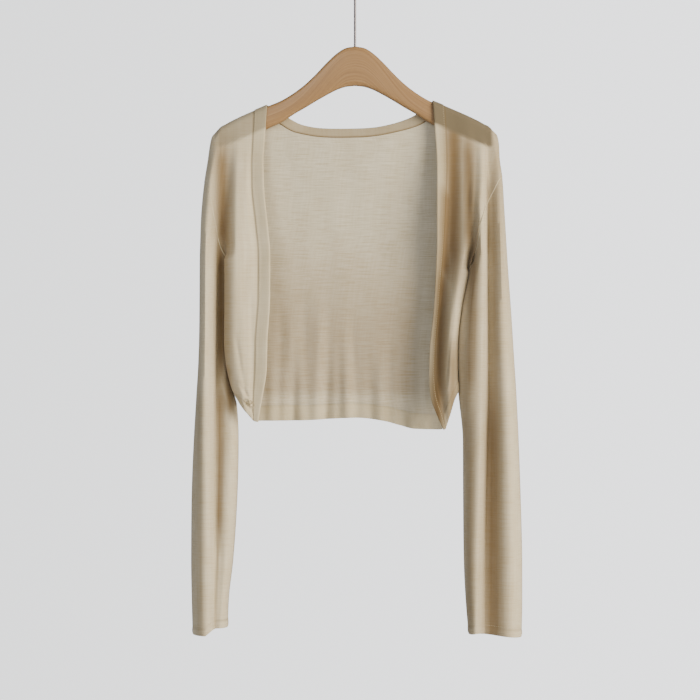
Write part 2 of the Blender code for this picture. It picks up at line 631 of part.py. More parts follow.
def front_grid(side):
    """Middle surface of a front and its band, from the band's free edge to the
    armhole and side seam, and from the shoulder to the hem's edge."""
    flat = np.concatenate([band_flat(side), front_flat(side)], axis=1)
    out, drop = flat[..., 0], flat[..., 1]
    depth = body_depth(side, FRONT, out, drop) * top_turn(out, drop)
    grid = place(side, FRONT, out, drop, depth)
    reach = ease((np.array(FRONT_ACROSS) - 1.0 + FRONT_ARM_REACH) / FRONT_ARM_REACH)
    arm = armhole_curve(side, FRONT)
    miss = arm[:, 1] - grid[:len(arm), -1, 1]
    grid[:len(arm), BAND_STEPS:, 1] += miss[:, None] * reach
    return grid


def band_flat(side):
    """(out, drop) grid of a front band, free edge to just before its seam."""
    seam = front_flat(side)[:, 0]
    edge_top = float(body_value(side, "edge", 0.0))
    shift = float(shoulder_drop(edge_top)) - seam[0, 1]
    fade = 1.0 - ease((seam[:, 1] - seam[0, 1]) / BAND_TURN)
    edge_drop = seam[:, 1] + shift * fade
    edge_drop[-1] += BAND_POINT
    edge = np.stack([body_value(side, "edge", edge_drop), edge_drop], 1)
    share = np.linspace(0.0, 1.0, BAND_STEPS + 1)[:-1].reshape(1, -1, 1)
    return edge[:, None] + (seam - edge)[:, None] * share


def hem_waves(x, drop):
    """Soft waves that grow towards the back hem."""
    grow = ease((drop - HEM_WAVE_START) / (HEM_WAVE_FULL - HEM_WAVE_START))
    inside = ease((HEM_WAVE_REACH - np.abs(x - HEM_WAVE_MIDDLE)) / HEM_WAVE_FADE)
    turn = 2.0 * math.pi * x / HEM_WAVE_PITCH
    sway = np.sin(turn) + 0.5 * np.sin(HEM_RIPPLE_TIMES * turn + 1.0)
    return HEM_WAVE * grow * inside * sway


def back_depth(x, drop):
    """Depth of the back's surface behind the middle plane."""
    out = np.abs(x)
    left = body_depth(LEFT, BACK, out, drop)
    right = body_depth(RIGHT, BACK, out, drop)
    mix = ease((x + SIDES_MIX) / (2.0 * SIDES_MIX))
    return (left + (right - left) * mix) * top_turn(out, drop) + hem_waves(x, drop)


def neck_curve(rows, shares):
    """(x, drop) at shares along a neck line."""
    knots = np.linspace(0.0, 1.0, len(rows))
    fine = np.linspace(0.0, 1.0, 200)
    path = np.stack([smooth(fine, knots, column(rows, NECK_COLUMNS, "x")),
                     smooth(fine, knots, column(rows, NECK_COLUMNS, "drop"))], 1)
    return resample(path, shares)


def neck_shares():
    """Shares along the neck, close together where it crosses the wood."""
    ends = np.array(NECK_END_SHARES)
    even = np.linspace(ends[-1], 1.0 - ends[-1], BACK_NECK_STEPS - 2 * len(ends) + 3)
    return np.concatenate([ends[:-1], even, 1.0 - ends[-2::-1]])


def back_flat():
    """(x, drop) grid of the back, from the shoulders and neck to the hem, and
    its shares across."""
    borders = {}
    for side, neck_row in ((LEFT, NECK_SEAM_ROWS[0]), (RIGHT, NECK_SEAM_ROWS[-1])):
        points = resample(shoulder_path(side, abs(neck_row[0])), FRONT_ACROSS)
        borders[side] = points * np.array([side, 1.0])
    neck = neck_curve(NECK_SEAM_ROWS, neck_shares())
    top = np.concatenate([borders[LEFT][:0:-1], neck, borders[RIGHT][1:]])
    first = outer_border(LEFT, BACK) * np.array([LEFT, 1.0])
    last = outer_border(RIGHT, BACK) * np.array([RIGHT, 1.0])
    across = back_shares(top[:, 0])
    hem_x = column(HEM_ROWS, HEM_COLUMNS, "x")
    hem_share = (hem_x - hem_x[0]) / (hem_x[-1] - hem_x[0])
    hem_drop = column(HEM_ROWS, HEM_COLUMNS, "drop")
    bottom = np.stack([smooth(across, hem_share, hem_x), smooth(across, hem_share, hem_drop)], 1)
    turn = np.array(TOP_OFFSETS) / BACK_LENGTH
    rest = len(first) - len(turn)
    even = np.linspace(turn[-1], 1.0 - HEM_STEP / BACK_LENGTH, rest)[1:]
    down = np.concatenate([turn, even, [1.0]])
    return patch(top, bottom, first, last, across, down), across


def back_grid():
    """Middle surface of the back."""
    flat, across = back_flat()
    x, drop = flat[..., 0], flat[..., 1]
    grid = place(1.0, BACK, x, drop, back_depth(x, drop))
    match_armholes(grid, across)
    return grid


def back_shares(top_x):
    """Shares across the back, close together at both side folds."""
    by_place = (top_x - top_x[0]) / (top_x[-1] - top_x[0])
    even = np.linspace(0.0, 1.0, len(top_x))
    return (1.0 - BACK_EVEN) * by_place + BACK_EVEN * even


def match_armholes(grid, across):
    """Make the back's border columns meet the armhole seams exactly."""
    for side, col, inwards in ((LEFT, 0, across), (RIGHT, -1, 1.0 - across)):
        reach = ease((BACK_ARM_REACH - inwards) / BACK_ARM_REACH)
        arm = armhole_curve(side, BACK)
        miss = arm[:, 1] - grid[:len(arm), col, 1]
        grid[:len(arm), :, 1] += miss[:, None] * reach


def neck_grid():
    """Middle surface of the band round the back neck, free edge to seam."""
    shares = neck_shares()
    seam = neck_curve(NECK_SEAM_ROWS, shares)
    edge = neck_curve(NECK_EDGE_ROWS, shares)
    share = np.linspace(0.0, 1.0, BAND_STEPS + 1)
    flat = edge[None] + (seam - edge)[None] * share[:, None, None]
    x, drop = flat[..., 0], flat[..., 1]
    lean = NECK_LEAN * ease(np.sin(math.pi * shares)) * (1.0 - share[:, None])
    return place(1.0, BACK, x, drop, back_depth(x, drop) + lean)


def make_garment():
    """Cut every cloth from the shared surfaces, with a gap at each seam."""
    fronts = {side: Cloth(front_grid(side)) for side in (LEFT, RIGHT)}
    sleeves = {side: Cloth(sleeve_grid(side), ring=True) for side in (LEFT, RIGHT)}
    back = Cloth(back_grid())
    neck = Cloth(neck_grid())
    for cloth in (fronts[RIGHT], sleeves[LEFT]):
        cloth.normal = -cloth.normal
    side_cols = len(FRONT_ACROSS) - 1
    neck_cols = np.s_[side_cols:side_cols + BACK_NECK_STEPS + 1]
    arm = len(sleeve_samples())
    join(back, (0, neck_cols), neck, np.s_[-1])
    for side, back_col, step in ((LEFT, 0, 1), (RIGHT, -1, -1)):
        front = fronts[side]
        count = side_cols + 1
        cols = np.arange(count) if side == LEFT else -1 - np.arange(count)
        join(front, (0, BAND_STEPS + side_cols - np.arange(count)), back, (0, cols))
        join(front, (0, np.arange(BAND_STEPS + 1)), neck, (np.arange(BAND_STEPS + 1), back_col))
        join(front, np.s_[arm:, -1], back, np.s_[arm:, back_col])
        join(sleeves[side], (0, np.arange(arm)), front, (np.arange(arm), -1))
        join(sleeves[side], (0, -np.arange(arm)), back, (np.arange(arm), back_col))
    for side, word in ((LEFT, "left"), (RIGHT, "right")):
        cut_front(fronts[side], word)
        sleeve = sleeves[side].stop_short("top", SLANT_GAP)
        thickness = np.full(len(sleeve.grid), CLOTH)
        thickness[-1] = CUFF_CLOTH
        sleeve.wall("sleeve_" + word, thickness, KNIT)
    neck.stop_short("first", SEAM_GAP).stop_short("last", SEAM_GAP)
    neck.stop_short("bottom", SEAM_GAP).wall("band_neck", BAND_CLOTH, KNIT)
    for border in ("top", "first", "last"):
        back.stop_short(border, SLANT_GAP)
    across = back_flat()[1]
    near_end = ease(1.0 - np.minimum(across, 1.0 - across) / CORNER_SHARE)
    hem_gap = SLANT_GAP + (CORNER_GAP - SLANT_GAP) * near_end
    panel = back.piece(np.s_[:-1], np.s_[:]).stop_short("bottom", hem_gap)
    panel.wall("back_panel", CLOTH, KNIT)
    hem = back.piece(np.s_[-2:], np.s_[:]).stop_short("top", hem_gap)
    hem.wall("hem_band_back", BAND_CLOTH, KNIT)


def cut_front(front, word):
    """Cut one front's cloth into its band, panel and hem band."""
    for border in ("top", "last"):
        front.stop_short(border, SLANT_GAP)
    band = front.piece(np.s_[:], np.s_[:BAND_STEPS + 1]).stop_short("last", SEAM_GAP)
    band.wall("band_" + word, BAND_CLOTH, KNIT)
    panel = front.piece(np.s_[:-1], np.s_[BAND_STEPS:]).stop_short("first", SEAM_GAP)
    panel.stop_short("bottom", SLANT_GAP).wall("front_" + word, CLOTH, KNIT)
    hem = front.piece(np.s_[-2:], np.s_[BAND_STEPS:]).stop_short("first", SEAM_GAP)
    hem.stop_short("top", SLANT_GAP).wall("hem_band_" + word, BAND_CLOTH, KNIT)


def make_hanger(name, bore_name):
    """Arched wooden hanger: a rounded section carried from tip to tip."""
    end = column(HANGER_ROWS, HANGER_COLUMNS, "out")[-1]
    half = np.concatenate([np.linspace(0.0, HANGER_TIP_START, WOOD_STEPS),
                           np.linspace(WOOD_TIP_FIRST, end, WOOD_TIP_STEPS)])
    outs = np.concatenate([-half[::-1], half[1:]])
    tip = np.clip((np.abs(outs) - HANGER_TIP_START) / (end - HANGER_TIP_START), 0.0, 1.0)
    thick = 0.5 * HANGER_THICK * np.sqrt(1.0 - HANGER_TIP_THIN * tip ** 2)
    top, bottom = hanger_top(outs), hanger_bottom(outs)
    turn = np.radians(np.array([0.0, 30.0, 60.0, 90.0]))
    rounding = np.minimum(HANGER_ROUND, WOOD_ROUND_SHARE * (bottom - top))
    rings = []
    for upper, sign in ((True, 1.0), (True, -1.0), (False, -1.0), (False, 1.0)):
        angles = turn if sign > 0 and upper or sign < 0 and not upper else turn[::-1]
        for angle in angles:
            depth = sign * thick * math.cos(angle)
            fall = rounding * (1.0 - math.sin(angle))
            level = top + fall if upper else bottom - fall
            rings.append(np.stack([outs, depth, -hook_height() - level], 1))
    keep = [k for k in range(len(rings)) if k not in (4, 12)]
    grid = np.stack([rings[k] for k in keep], axis=1)
    rows, cols = grid.shape[:2]
    index = np.arange(rows * cols).reshape(rows, cols)
    faces = []
    for i in range(rows - 1):
        for j in range(cols):
            k = (j + 1) % cols
            faces.append((index[i, j], index[i, k], index[i + 1, k], index[i + 1, j]))
    faces.append(tuple(index[0]))
    faces.append(tuple(index[-1][::-1]))
    wood = make_object(name, grid.reshape(-1, 3), faces, WOOD)
    bore = bpy.data.meshes.new(bore_name)
    shape = bmesh.new()
    bmesh.ops.create_cone(shape, cap_ends=True, segments=16, radius1=SHANK_BORE * MM,
                          radius2=SHANK_BORE * MM, depth=2.0 * (SHANK_SUNK + 1.0) * MM)
    shape.to_mesh(bore)
    shape.free()
    cutter = bpy.data.objects.new(bore_name, bore)
    cutter.location = (0.0, 0.0, -hook_height() * MM)
    cutter.hide_render = True
    cutter.display_type = 'WIRE'
    bpy.context.scene.collection.objects.link(cutter)
    cut = wood.modifiers.new("hook_bore", 'BOOLEAN')
    cut.operation = 'DIFFERENCE'
    cut.object = cutter
    cut.solver = 'EXACT'


def hook_path():
    """Wire centre line: sunk shank, straight shank, bend and open ring."""
    crown = -hook_height()
    circle = HOOK_INSIDE + WIRE_RADIUS
    bend = circle * math.cos(HOOK_START) / (1.0 - math.cos(HOOK_START))
    shank_top = crown + SHANK_SHOWN
    centre = shank_top + hook_bend_height()
    points = [(0.0, crown - SHANK_SUNK), (0.0, 0.5 * (crown + shank_top)), (0.0, shank_top)]
    for step in range(1, BEND_STEPS):
        turned = -HOOK_START * step / BEND_STEPS
        points.append((bend * (1.0 - math.cos(turned)), shank_top + bend * math.sin(turned)))
    for angle in np.linspace(HOOK_START, HOOK_END, HOOK_STEPS):
        points.append((circle * math.cos(angle), centre + circle * math.sin(angle)))
    return points


def make_hook(name):
    """Wire hook swept along its path with closed ends."""
    path = hook_path()
    curve = bpy.data.curves.new(name, 'CURVE')
    curve.dimensions = '3D'
    curve.bevel_depth = WIRE_RADIUS * MM
    curve.bevel_resolution = 2
    curve.use_fill_caps = True
    spline = curve.splines.new('POLY')
    spline.points.add(len(path) - 1)
    for point, (x, z) in zip(spline.points, path):
        point.co = (x * MM, 0.0, z * MM, 1.0)
    hook = bpy.data.objects.new(name, curve)
    bpy.context.scene.collection.objects.link(hook)
    curve.materials.append(material(name + "_finish", *STEEL))


def build():
    for thing in list(bpy.data.objects):
        bpy.data.objects.remove(thing, do_unlink=True)
    make_hanger("hanger_wood", "hook_bore_cutter")
    make_hook("hanger_hook")
    make_garment()


build()
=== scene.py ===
"""Looks of the cropped cardigan on its wooden hanger.

Each cloth is a fine surface worked out from the same named lines as its solid:
"out" is the sideways distance from the hook's axis, "drop" the distance below
the hanger's crown and "depth" the distance in front of or behind the hanger's
middle plane. Lengths are millimetres until a mesh is made.
"""

import math

import bpy
import numpy as np
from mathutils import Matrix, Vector


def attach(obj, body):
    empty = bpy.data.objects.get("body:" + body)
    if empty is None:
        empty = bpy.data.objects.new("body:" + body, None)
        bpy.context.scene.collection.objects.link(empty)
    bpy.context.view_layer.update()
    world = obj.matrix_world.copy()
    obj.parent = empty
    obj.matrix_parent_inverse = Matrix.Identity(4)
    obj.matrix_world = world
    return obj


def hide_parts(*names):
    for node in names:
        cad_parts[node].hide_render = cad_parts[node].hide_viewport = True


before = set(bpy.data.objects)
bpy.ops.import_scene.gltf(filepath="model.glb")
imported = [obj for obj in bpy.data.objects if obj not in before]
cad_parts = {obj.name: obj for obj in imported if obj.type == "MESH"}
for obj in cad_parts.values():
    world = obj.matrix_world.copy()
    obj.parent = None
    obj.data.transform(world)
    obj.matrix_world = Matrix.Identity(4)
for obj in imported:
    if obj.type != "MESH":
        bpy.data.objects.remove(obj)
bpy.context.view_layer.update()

MM = 0.001

# ---------------------------------------------------- sizes shared with the solids
HANGER_THICK = 12.0
HANGER_TIP_START = 174.0 # where the wood begins to thin towards its tip
HANGER_TIP_THIN = 0.94
CLOTH_LIFT = 1.8         # cloth's middle surface above the wood's top edge
TIP_LIFT = 1.2           # further lift past the wood's tip
TIP_LIFT_REACH = 10.0
OVER_WOOD = 8.0          # least depth of the cloth's middle surface beside the wood
SHOULDER_TURN = 9.0      # drop in which the cloth turns over the shoulder line

WIRE_RADIUS = 1.6
HOOK_INSIDE = 21.0       # inside radius of the hook
HOOK_START = math.radians(-65.0)
HOOK_END = math.radians(200.0)
SHANK_SHOWN = 68.0       # straight wire above the wood
SHANK_SUNK = 22.0
HOOK_CIRCLE = HOOK_INSIDE + WIRE_RADIUS
# radius of the bend between shank and ring, and height of the ring's centre
# above the top of the straight shank
HOOK_BEND = HOOK_CIRCLE * math.cos(HOOK_START) / (1.0 - math.cos(HOOK_START))
HOOK_RISE = HOOK_BEND * math.sin(-HOOK_START) + HOOK_CIRCLE * math.sin(-HOOK_START)
# height of the hook's inside top above the hanger's crown
HOOK_HEIGHT = SHANK_SHOWN + HOOK_RISE + HOOK_INSIDE

NECK_LEAN = 5.0          # how far the back neck band leans back at its free edge
HEM_WAVE = 3.5           # depth of the soft waves above the back hem
HEM_WAVE_PITCH = 50.0
HEM_WAVE_START = 385.0   # drop where the waves begin
HEM_WAVE_FULL = 505.0
HEM_WAVE_MIDDLE = -8.0   # x about which the waves lie
HEM_WAVE_REACH = 125.0   # they end this far to either side
HEM_WAVE_FADE = 30.0
HEM_RIPPLE_TIMES = 2.3   # smaller waves to each main one
OUTER_ROUND = 1.7        # superellipse power of a sleeve's outer edge
SIDE_ROUND = 2.0         # the same for side folds and a sleeve's inner edge
ARMPIT_BLEND = 26.0      # drop over which the armhole groove becomes two edges
SHOULDER_END_OUT = 184.0 # where the shoulder line starts to turn down
SHOULDER_END_DROP = 121.0
CHEST_SHORT = 12.0       # the evenly spaced chest rows end this far above the armpit
SIDES_MIX = 20.0         # half-width over which the back's two halves blend

LEFT = -1.0
RIGHT = 1.0
FRONT = -1.0
BACK = 1.0

# ------------------------------------------------------------------ the hanger
# out from the hook's axis, drop of the top edge, drop of the bottom edge
HANGER_COLUMNS = ("out", "top", "bottom")
HANGER_ROWS = (
    (0, 0, 53.7),
    (13, 2.4, 55.2),
    (25, 9.8, 59.3),
    (39, 22.8, 66.5),
    (53, 37.6, 74.5),
    (67, 51, 83),
    (82, 62.6, 91.6),
    (100, 73.6, 103.2),
    (119, 81.6, 112.2),
    (140, 90.6, 121.6),
    (160, 99.6, 130.6),
    (175, 107.6, 136.4),
    (184, 114.2, 138.8),
    (190, 123, 136),
)

# ---------------------------------------------------------------- the sleeves
# Each row is one level section. From the outer edge inwards a sleeve has its
# front ridge, two lines of a steep wall (a, b), an inner roll and its inner
# edge; "_d" columns give how far those lines stand in front of the middle
# plane. Above the armpit "inner" is the bottom of the armhole groove.
SLEEVE_COLUMNS = ("drop", "outer", "ridge", "wall_a", "wall_b", "roll", "inner",
                  "ridge_d", "wall_a_d", "wall_b_d", "roll_d", "inner_d", "back_d")
SLEEVE_ROWS = {
    LEFT: (
        (120, 193.4, 184, 179, 176, 173, 170, 8, 8, 8, 8, 8, 8),
        (131, 196.4, 186, 180.5, 177, 173.5, 170.5, 9.5, 9, 8.4, 8.4, 8.4, 9.5),
        (154, 199.8, 190.5, 183, 179, 175, 171.5, 16, 13, 9.5, 9, 9, 16),
        (184, 204.5, 195, 187.2, 183, 177.8, 173.5, 25, 20.5, 11, 9, 9, 25),
        (218, 208.1, 197.3, 188.4, 185, 180.2, 177, 32, 26, 9.5, 8, 8, 33),
        (239, 209.4, 199.1, 188.9, 186, 181.8, 179.1, 35, 29, 8.5, 7, 7, 37),
        (263, 210.1, 200.2, 189.3, 186.5, 182.2, 179.7, 38, 31, 7.5, 5.5, 5, 40),
        (288, 210.8, 200.6, 189.8, 187, 181.4, 175.4, 41, 33, 7, 5, 0, 43),
        (345, 211.1, 200.8, 190.6, 187.6, 181, 175.6, 42, 34, 5, 5, 0, 45),
        (399, 211.8, 201.2, 191, 188, 181.2, 176.1, 41, 33, 5, 6, 0, 44),
        (443, 213.5, 201.6, 191.2, 188.2, 179, 172.9, 40, 32, 6, 8, 0, 42),
        (466, 215, 201.7, 191.2, 188.2, 174, 167.4, 39, 31.5, 8, 11, 0, 40.5),
        (488, 216.3, 201.8, 191.3, 188.2, 169, 160.8, 38, 31, 11, 15, 0, 39),
        (535, 219, 202, 191.4, 188.3, 168.5, 158.6, 36, 30, 17, 20, 0, 36),
        (617, 222, 202.2, 191.6, 188.4, 171.7, 160.5, 34, 28.5, 21, 23, 0, 33),
        (698, 222.6, 202.3, 191.6, 188.6, 177, 165.9, 32, 27, 22, 24, 0, 30),
        (753, 221.7, 202.2, 191.4, 188.8, 181.4, 172, 31, 26, 22, 23.5, 0, 28),
        (803, 220.3, 201.6, 191.2, 188.8, 183.4, 173.4, 30, 25, 21, 22.5, 0, 27),
    ),
    RIGHT: (
        (120, 193, 186, 178, 174, 170, 164, 8, 8, 8, 8, 8, 8),
        (131, 195.2, 188, 179, 175, 170.5, 164, 8.8, 8.4, 9, 9.4, 9, 9.5),
        (154, 196.6, 191.5, 180, 176.5, 171, 163, 11, 10.2, 14, 16, 13.5, 16),
        (177, 199.9, 194.4, 180.1, 177.2, 171.4, 161.8, 16, 12.5, 19, 22, 18, 24),
        (218, 202.6, 195, 179.9, 176.4, 168.6, 160.2, 25, 15, 28, 31, 24, 33),
        (263, 205.4, 195.4, 179.4, 175.7, 169.2, 160.6, 33, 19, 35, 37, 19, 40),
        (307, 208.2, 196.2, 179.2, 175.4, 169.4, 153.9, 38, 22, 38, 40, 0, 44),
        (360, 212, 197.4, 179.7, 175.4, 168.6, 143, 39, 22, 38, 40, 0, 45),
        (420, 215.8, 199.3, 180.2, 175.2, 168, 138.4, 38, 20, 37, 39, 0, 43),
        (470, 219, 201.5, 180.4, 174.7, 167.6, 140.8, 36, 16, 34.5, 37, 0, 40),
        (535, 222.2, 203.6, 179.2, 173, 166.6, 146.9, 34, 11, 31, 35, 0, 36),
        (617, 225.1, 205.6, 177.6, 171.6, 165, 147.3, 32, 9, 26, 33, 0, 33),
        (698, 227, 206.5, 176.8, 170.6, 164, 148.2, 31, 10, 22.5, 31, 0, 31),
        (753, 227.1, 207.3, 176.4, 170.2, 163.6, 150.8, 30, 11, 21.5, 29, 0, 29),
        (803, 226.2, 209, 175.9, 169.6, 163, 155, 29, 12, 21, 28, 0, 28),
    ),
}
# drop of the armhole seam and of the cuff's edge on each line, outer to inner
SLEEVE_LINES = ("outer", "ridge", "wall_a", "wall_b", "roll", "inner")
ARMHOLE_DROP = {
    LEFT: (184.0, 200.0, 239.0, 260.0, 275.0, 288.0),
    RIGHT: (177.0, 183.0, 212.0, 219.0, 243.0, 307.0),
}
CUFF_DROP = {
    LEFT: (798.5, 798.5, 790.0, 789.0, 788.5, 788.5),
    RIGHT: (802.0, 800.0, 797.5, 796.0, 795.5, 798.0),
}

# ------------------------------------------------------------------ the fronts
# Each row is one level section, from the side inwards: side fold, body crest,
# valley, band seam and the band's free edge, with their depths in front.
# Above the armpit the side line is the bottom of the armhole groove, and its
# depth comes from the sleeve's rows.
BODY_COLUMNS = ("drop", "side", "crest", "valley", "seam", "edge",
                "crest_d", "valley_d", "seam_d", "edge_d", "back_d")
BODY_ROWS = {
    LEFT: (
        (78, 170, 157, 146, 136.6, 119, 8, 8, 8, 8.4, 8),
        (120, 170, 157, 146.5, 138.2, 121.8, 9, 8.8, 8.6, 9.6, 8),
        (154, 171.5, 158.5, 147.7, 139.7, 123.9, 13.5, 12.6, 11.5, 13.5, 10.5),
        (186, 173.5, 159.6, 147.5, 139.7, 123.4, 18.5, 17, 14.5, 17.5, 14),
        (240, 179.1, 160, 145.9, 134.5, 118.2, 25, 22.5, 19.5, 22.5, 20),
        (288, 173.3, 160.3, 144.3, 130.3, 114.3, 29, 26, 23, 26.5, 25),
        (345, 173.2, 160.2, 144.2, 130.8, 114.5, 32, 29, 26, 29.5, 28),
        (399, 173.6, 159.5, 145.4, 134.3, 117.8, 33, 31, 28, 31.5, 30),
        (442, 169.4, 157, 145.4, 135, 119.1, 34, 32, 29, 32, 31),
        (486, 155.9, 149, 143.2, 137.4, 126.5, 33, 32, 30, 32, 31),
        (511, 146, 142, 139, 136.4, 130.3, 32, 31.5, 30.5, 32, 31),
    ),
    RIGHT: (
        (72, 164, 153, 135.7, 120.3, 105, 8, 8, 8, 8.4, 8),
        (120, 164, 153, 132.5, 123, 108.6, 9, 8.1, 8.2, 10.4, 8),
        (154, 163, 153, 130, 124, 110.5, 13, 8.6, 9.6, 14.6, 10.5),
        (186, 161.6, 152.6, 127.5, 123.2, 110.8, 17, 9, 10.6, 18.6, 14),
        (220, 160.2, 151.3, 126.1, 121.9, 110.4, 20.5, 9.2, 11.6, 21.8, 18),
        (264, 160.6, 149.6, 123.6, 119.9, 110.6, 25, 9.4, 12, 20, 23),
        (307, 151.8, 142.1, 120, 116.6, 109.3, 28, 9.6, 11, 13.5, 26),
        (360, 140.9, 133.6, 115.2, 112.4, 106.4, 30, 9.8, 10.8, 11.5, 28.5),
        (411, 136, 128.8, 111.2, 108, 101.3, 31, 10.5, 11, 11, 30),
        (447, 136, 127.5, 110.8, 107.2, 100.3, 31, 14, 13.5, 12, 31),
        (474, 137.6, 127.4, 113.2, 109.2, 101.6, 31, 21, 19.5, 17, 31),
        (494, 132.8, 127, 119.6, 115.4, 107.8, 30.6, 27, 26, 24, 31),
        (521, 128.4, 126.4, 124.6, 122.8, 119.4, 30.4, 29.6, 29.4, 29.2, 31),
    ),
}
BODY_LINES = ("side", "crest", "valley", "seam", "edge")
# how the back takes its depths from the sleeve's back_d and its own back_d
BACK_SHARE = {"ridge": 1.0, "wall_a": 0.96, "wall_b": 0.92, "roll": 0.80, "inner": 0.70,
              "side": 0.70}

# lower corner of each front at the band seam, and of each side seam
FRONT_CORNER_DROP = {LEFT: 508.5, RIGHT: 519.0}
SIDE_CORNER_DROP = {LEFT: 486.0, RIGHT: 470.0}

# back hem: sideways place, drop of its lower edge
HEM_COLUMNS = ("x", "drop")
HEM_ROWS = (
    (-155.9, 486),
    (-147, 499),
    (-133, 510),
    (-75, 509.5),
    (0, 506),
    (41, 510.5),
    (61, 516),
    (82, 521),
    (118, 522),
    (129, 506),
    (137.6, 470),
)

# back neck: x, drop of the band seam and of the band's free edge
NECK_COLUMNS = ("x", "drop")
NECK_SEAM_ROWS = (
    (-136.6, 87.6), (-126, 92.6), (-101.6, 105.4), (-94, 111), (-84, 115.4),
    (-55, 121.9), (-28, 123.6), (0, 123.2), (22, 122.2), (44, 118.6),
    (63, 114.2), (82, 109), (93, 103.8), (108, 90.6), (120.3, 80.6),
)
NECK_EDGE_ROWS = (
    (-119, 80.1), (-110, 84), (-98, 91), (-89.8, 96.8), (-78.7, 103.2),
    (-55, 109), (-28, 110.6), (0, 110.3), (24, 109.1), (43.7, 105.7),
    (58, 102), (72.4, 97.2), (83.8, 91.2), (94, 83.6), (105, 74.8),
)

ARM_STEPS = (3, 2, 2, 2, 3)      # steps across each part of a sleeve's section
SIDE_STEPS = 9                   # rows down the side seam
HEM_STEP = 16.0                  # height of the hem band
PATH_STEPS = 24                  # points along a shoulder line
FALL_STEPS = 12                  # points down over its end
FRONT_ARM_REACH = 0.2            # share of a front that follows the armhole's depth
BACK_ARM_REACH = 0.1
BACK_EVEN = 0.45                 # how evenly the back's columns are spaced
HOOK_STEPS = 24
BEND_STEPS = 5
FRONT_ACROSS = (0.0, 0.05, 0.12, 0.21, 0.31, 0.40, 0.47, 0.53, 0.59, 0.67, 0.77, 0.87,
                0.95, 1.0)
BAND_STEPS = 2                   # steps across a band
BAND_TURN = 120.0                # drop in which a band's rows come level
BAND_POINT = 1.5                 # how far a band's lower corner hangs lower
BACK_LENGTH = 390.0
BACK_NECK_STEPS = 20
NECK_END_SHARES = (0.0, 0.007, 0.02, 0.036, 0.06)
TOP_OFFSETS = (0.0, 1.2, 4.4, 9.0)


def column(rows, names, name):
    """One named column of a table, as an array."""
    return np.array([row[names.index(name)] for row in rows])


def smooth(at, knots, values):
    """Smooth curve through (knots, values) without overshoot, read at `at`."""
    knots = np.asarray(knots, dtype=float)
    values = np.asarray(values, dtype=float)
    pitch = np.diff(values) / np.diff(knots)
    slopes = np.concatenate([pitch[:1], 0.5 * (pitch[1:] + pitch[:-1]), pitch[-1:]])
    turning = np.sign(pitch[1:]) * np.sign(pitch[:-1]) <= 0
    limit = 2.0 * np.minimum(np.abs(pitch[1:]), np.abs(pitch[:-1]))
    middle = np.clip(slopes[1:-1], -limit, limit)
    slopes[1:-1] = np.where(turning, 0.0, middle)
    at = np.asarray(at, dtype=float)
    low = np.clip(np.searchsorted(knots, at) - 1, 0, len(knots) - 2)
    span = knots[low + 1] - knots[low]
    q = np.clip((at - knots[low]) / span, 0.0, 1.0)
    start = (1.0 + 2.0 * q) * (1.0 - q) ** 2 * values[low]
    end = q ** 2 * (3.0 - 2.0 * q) * values[low + 1]
    leave = q * (1.0 - q) ** 2 * span * slopes[low]
    arrive = q ** 2 * (q - 1.0) * span * slopes[low + 1]
    return start + end + leave + arrive


def read(rows, names, name, at):
    """A table's named column, read at places in its first column."""
    return smooth(at, column(rows, names, names[0]), column(rows, names, name))


def ease(q):
    """Soft step from 0 to 1 as q goes from 0 to 1."""
    q = np.clip(q, 0.0, 1.0)
    return q * q * (3.0 - 2.0 * q)


def edge_round(q, power):
    """Quarter superellipse: 1 at q = 0 falling to 0 at q = 1."""
    q = np.clip(q, 0.0, 1.0)
    return np.maximum(1.0 - q ** power, 0.0) ** (1.0 / power)


def hanger_top(out):
    """Drop of the wood's top edge."""
    return read(HANGER_ROWS, HANGER_COLUMNS, "top", np.abs(out))


def hanger_bottom(out):
    """Drop of the wood's bottom edge."""
    return read(HANGER_ROWS, HANGER_COLUMNS, "bottom", np.abs(out))


def shoulder_drop(out):
    """Drop of the shoulder line, where the cloth lies over the wood."""
    tip = ease((np.abs(out) - HANGER_TIP_START) / TIP_LIFT_REACH)
    return hanger_top(out) - CLOTH_LIFT - TIP_LIFT * tip


def sleeve_value(side, name, drop):
    """A sleeve column read at `drop`."""
    return read(SLEEVE_ROWS[side], SLEEVE_COLUMNS, name, drop)


def body_value(side, name, drop):
    """A body column read at `drop`."""
    return read(BODY_ROWS[side], BODY_COLUMNS, name, drop)


def line_depth(side, face, name, drop):
    """Depth of a named line, in front or behind."""
    if name in BODY_LINES[1:]:
        if face == FRONT:
            return body_value(side, name + "_d", drop)
        return body_value(side, "back_d", drop)
    if face == FRONT:
        return sleeve_value(side, name.replace("side", "inner") + "_d", drop)
    depth = BACK_SHARE[name] * sleeve_value(side, "back_d", drop)
    if name in ("inner", "side"):
        return np.maximum(depth, OVER_WOOD) * (1.0 - armpit_share(side, drop))
    return np.maximum(depth, OVER_WOOD)


def armpit_share(side, drop):
    """0 above the armpit, 1 below it, with a soft change just above it."""
    return ease((drop - ARMHOLE_DROP[side][-1] + ARMPIT_BLEND) / ARMPIT_BLEND)


def turn_to_edge(q, high, low, below):
    """Fall from `high` at q = 0 to `low` at q = 1: a soft slope above the
    armpit (below = 0), a rounded edge under it (below = 1)."""
    soft = high + (low - high) * ease(q)
    rounded = low + (high - low) * edge_round(q, SIDE_ROUND)
    return soft + (rounded - soft) * below


def top_turn(out, drop):
    """Share of the depth left where the cloth turns over the shoulder line."""
    q = np.clip((drop - shoulder_drop(out)) / SHOULDER_TURN, 0.0, 1.0)
    return np.sqrt(1.0 - (1.0 - q) ** 2)


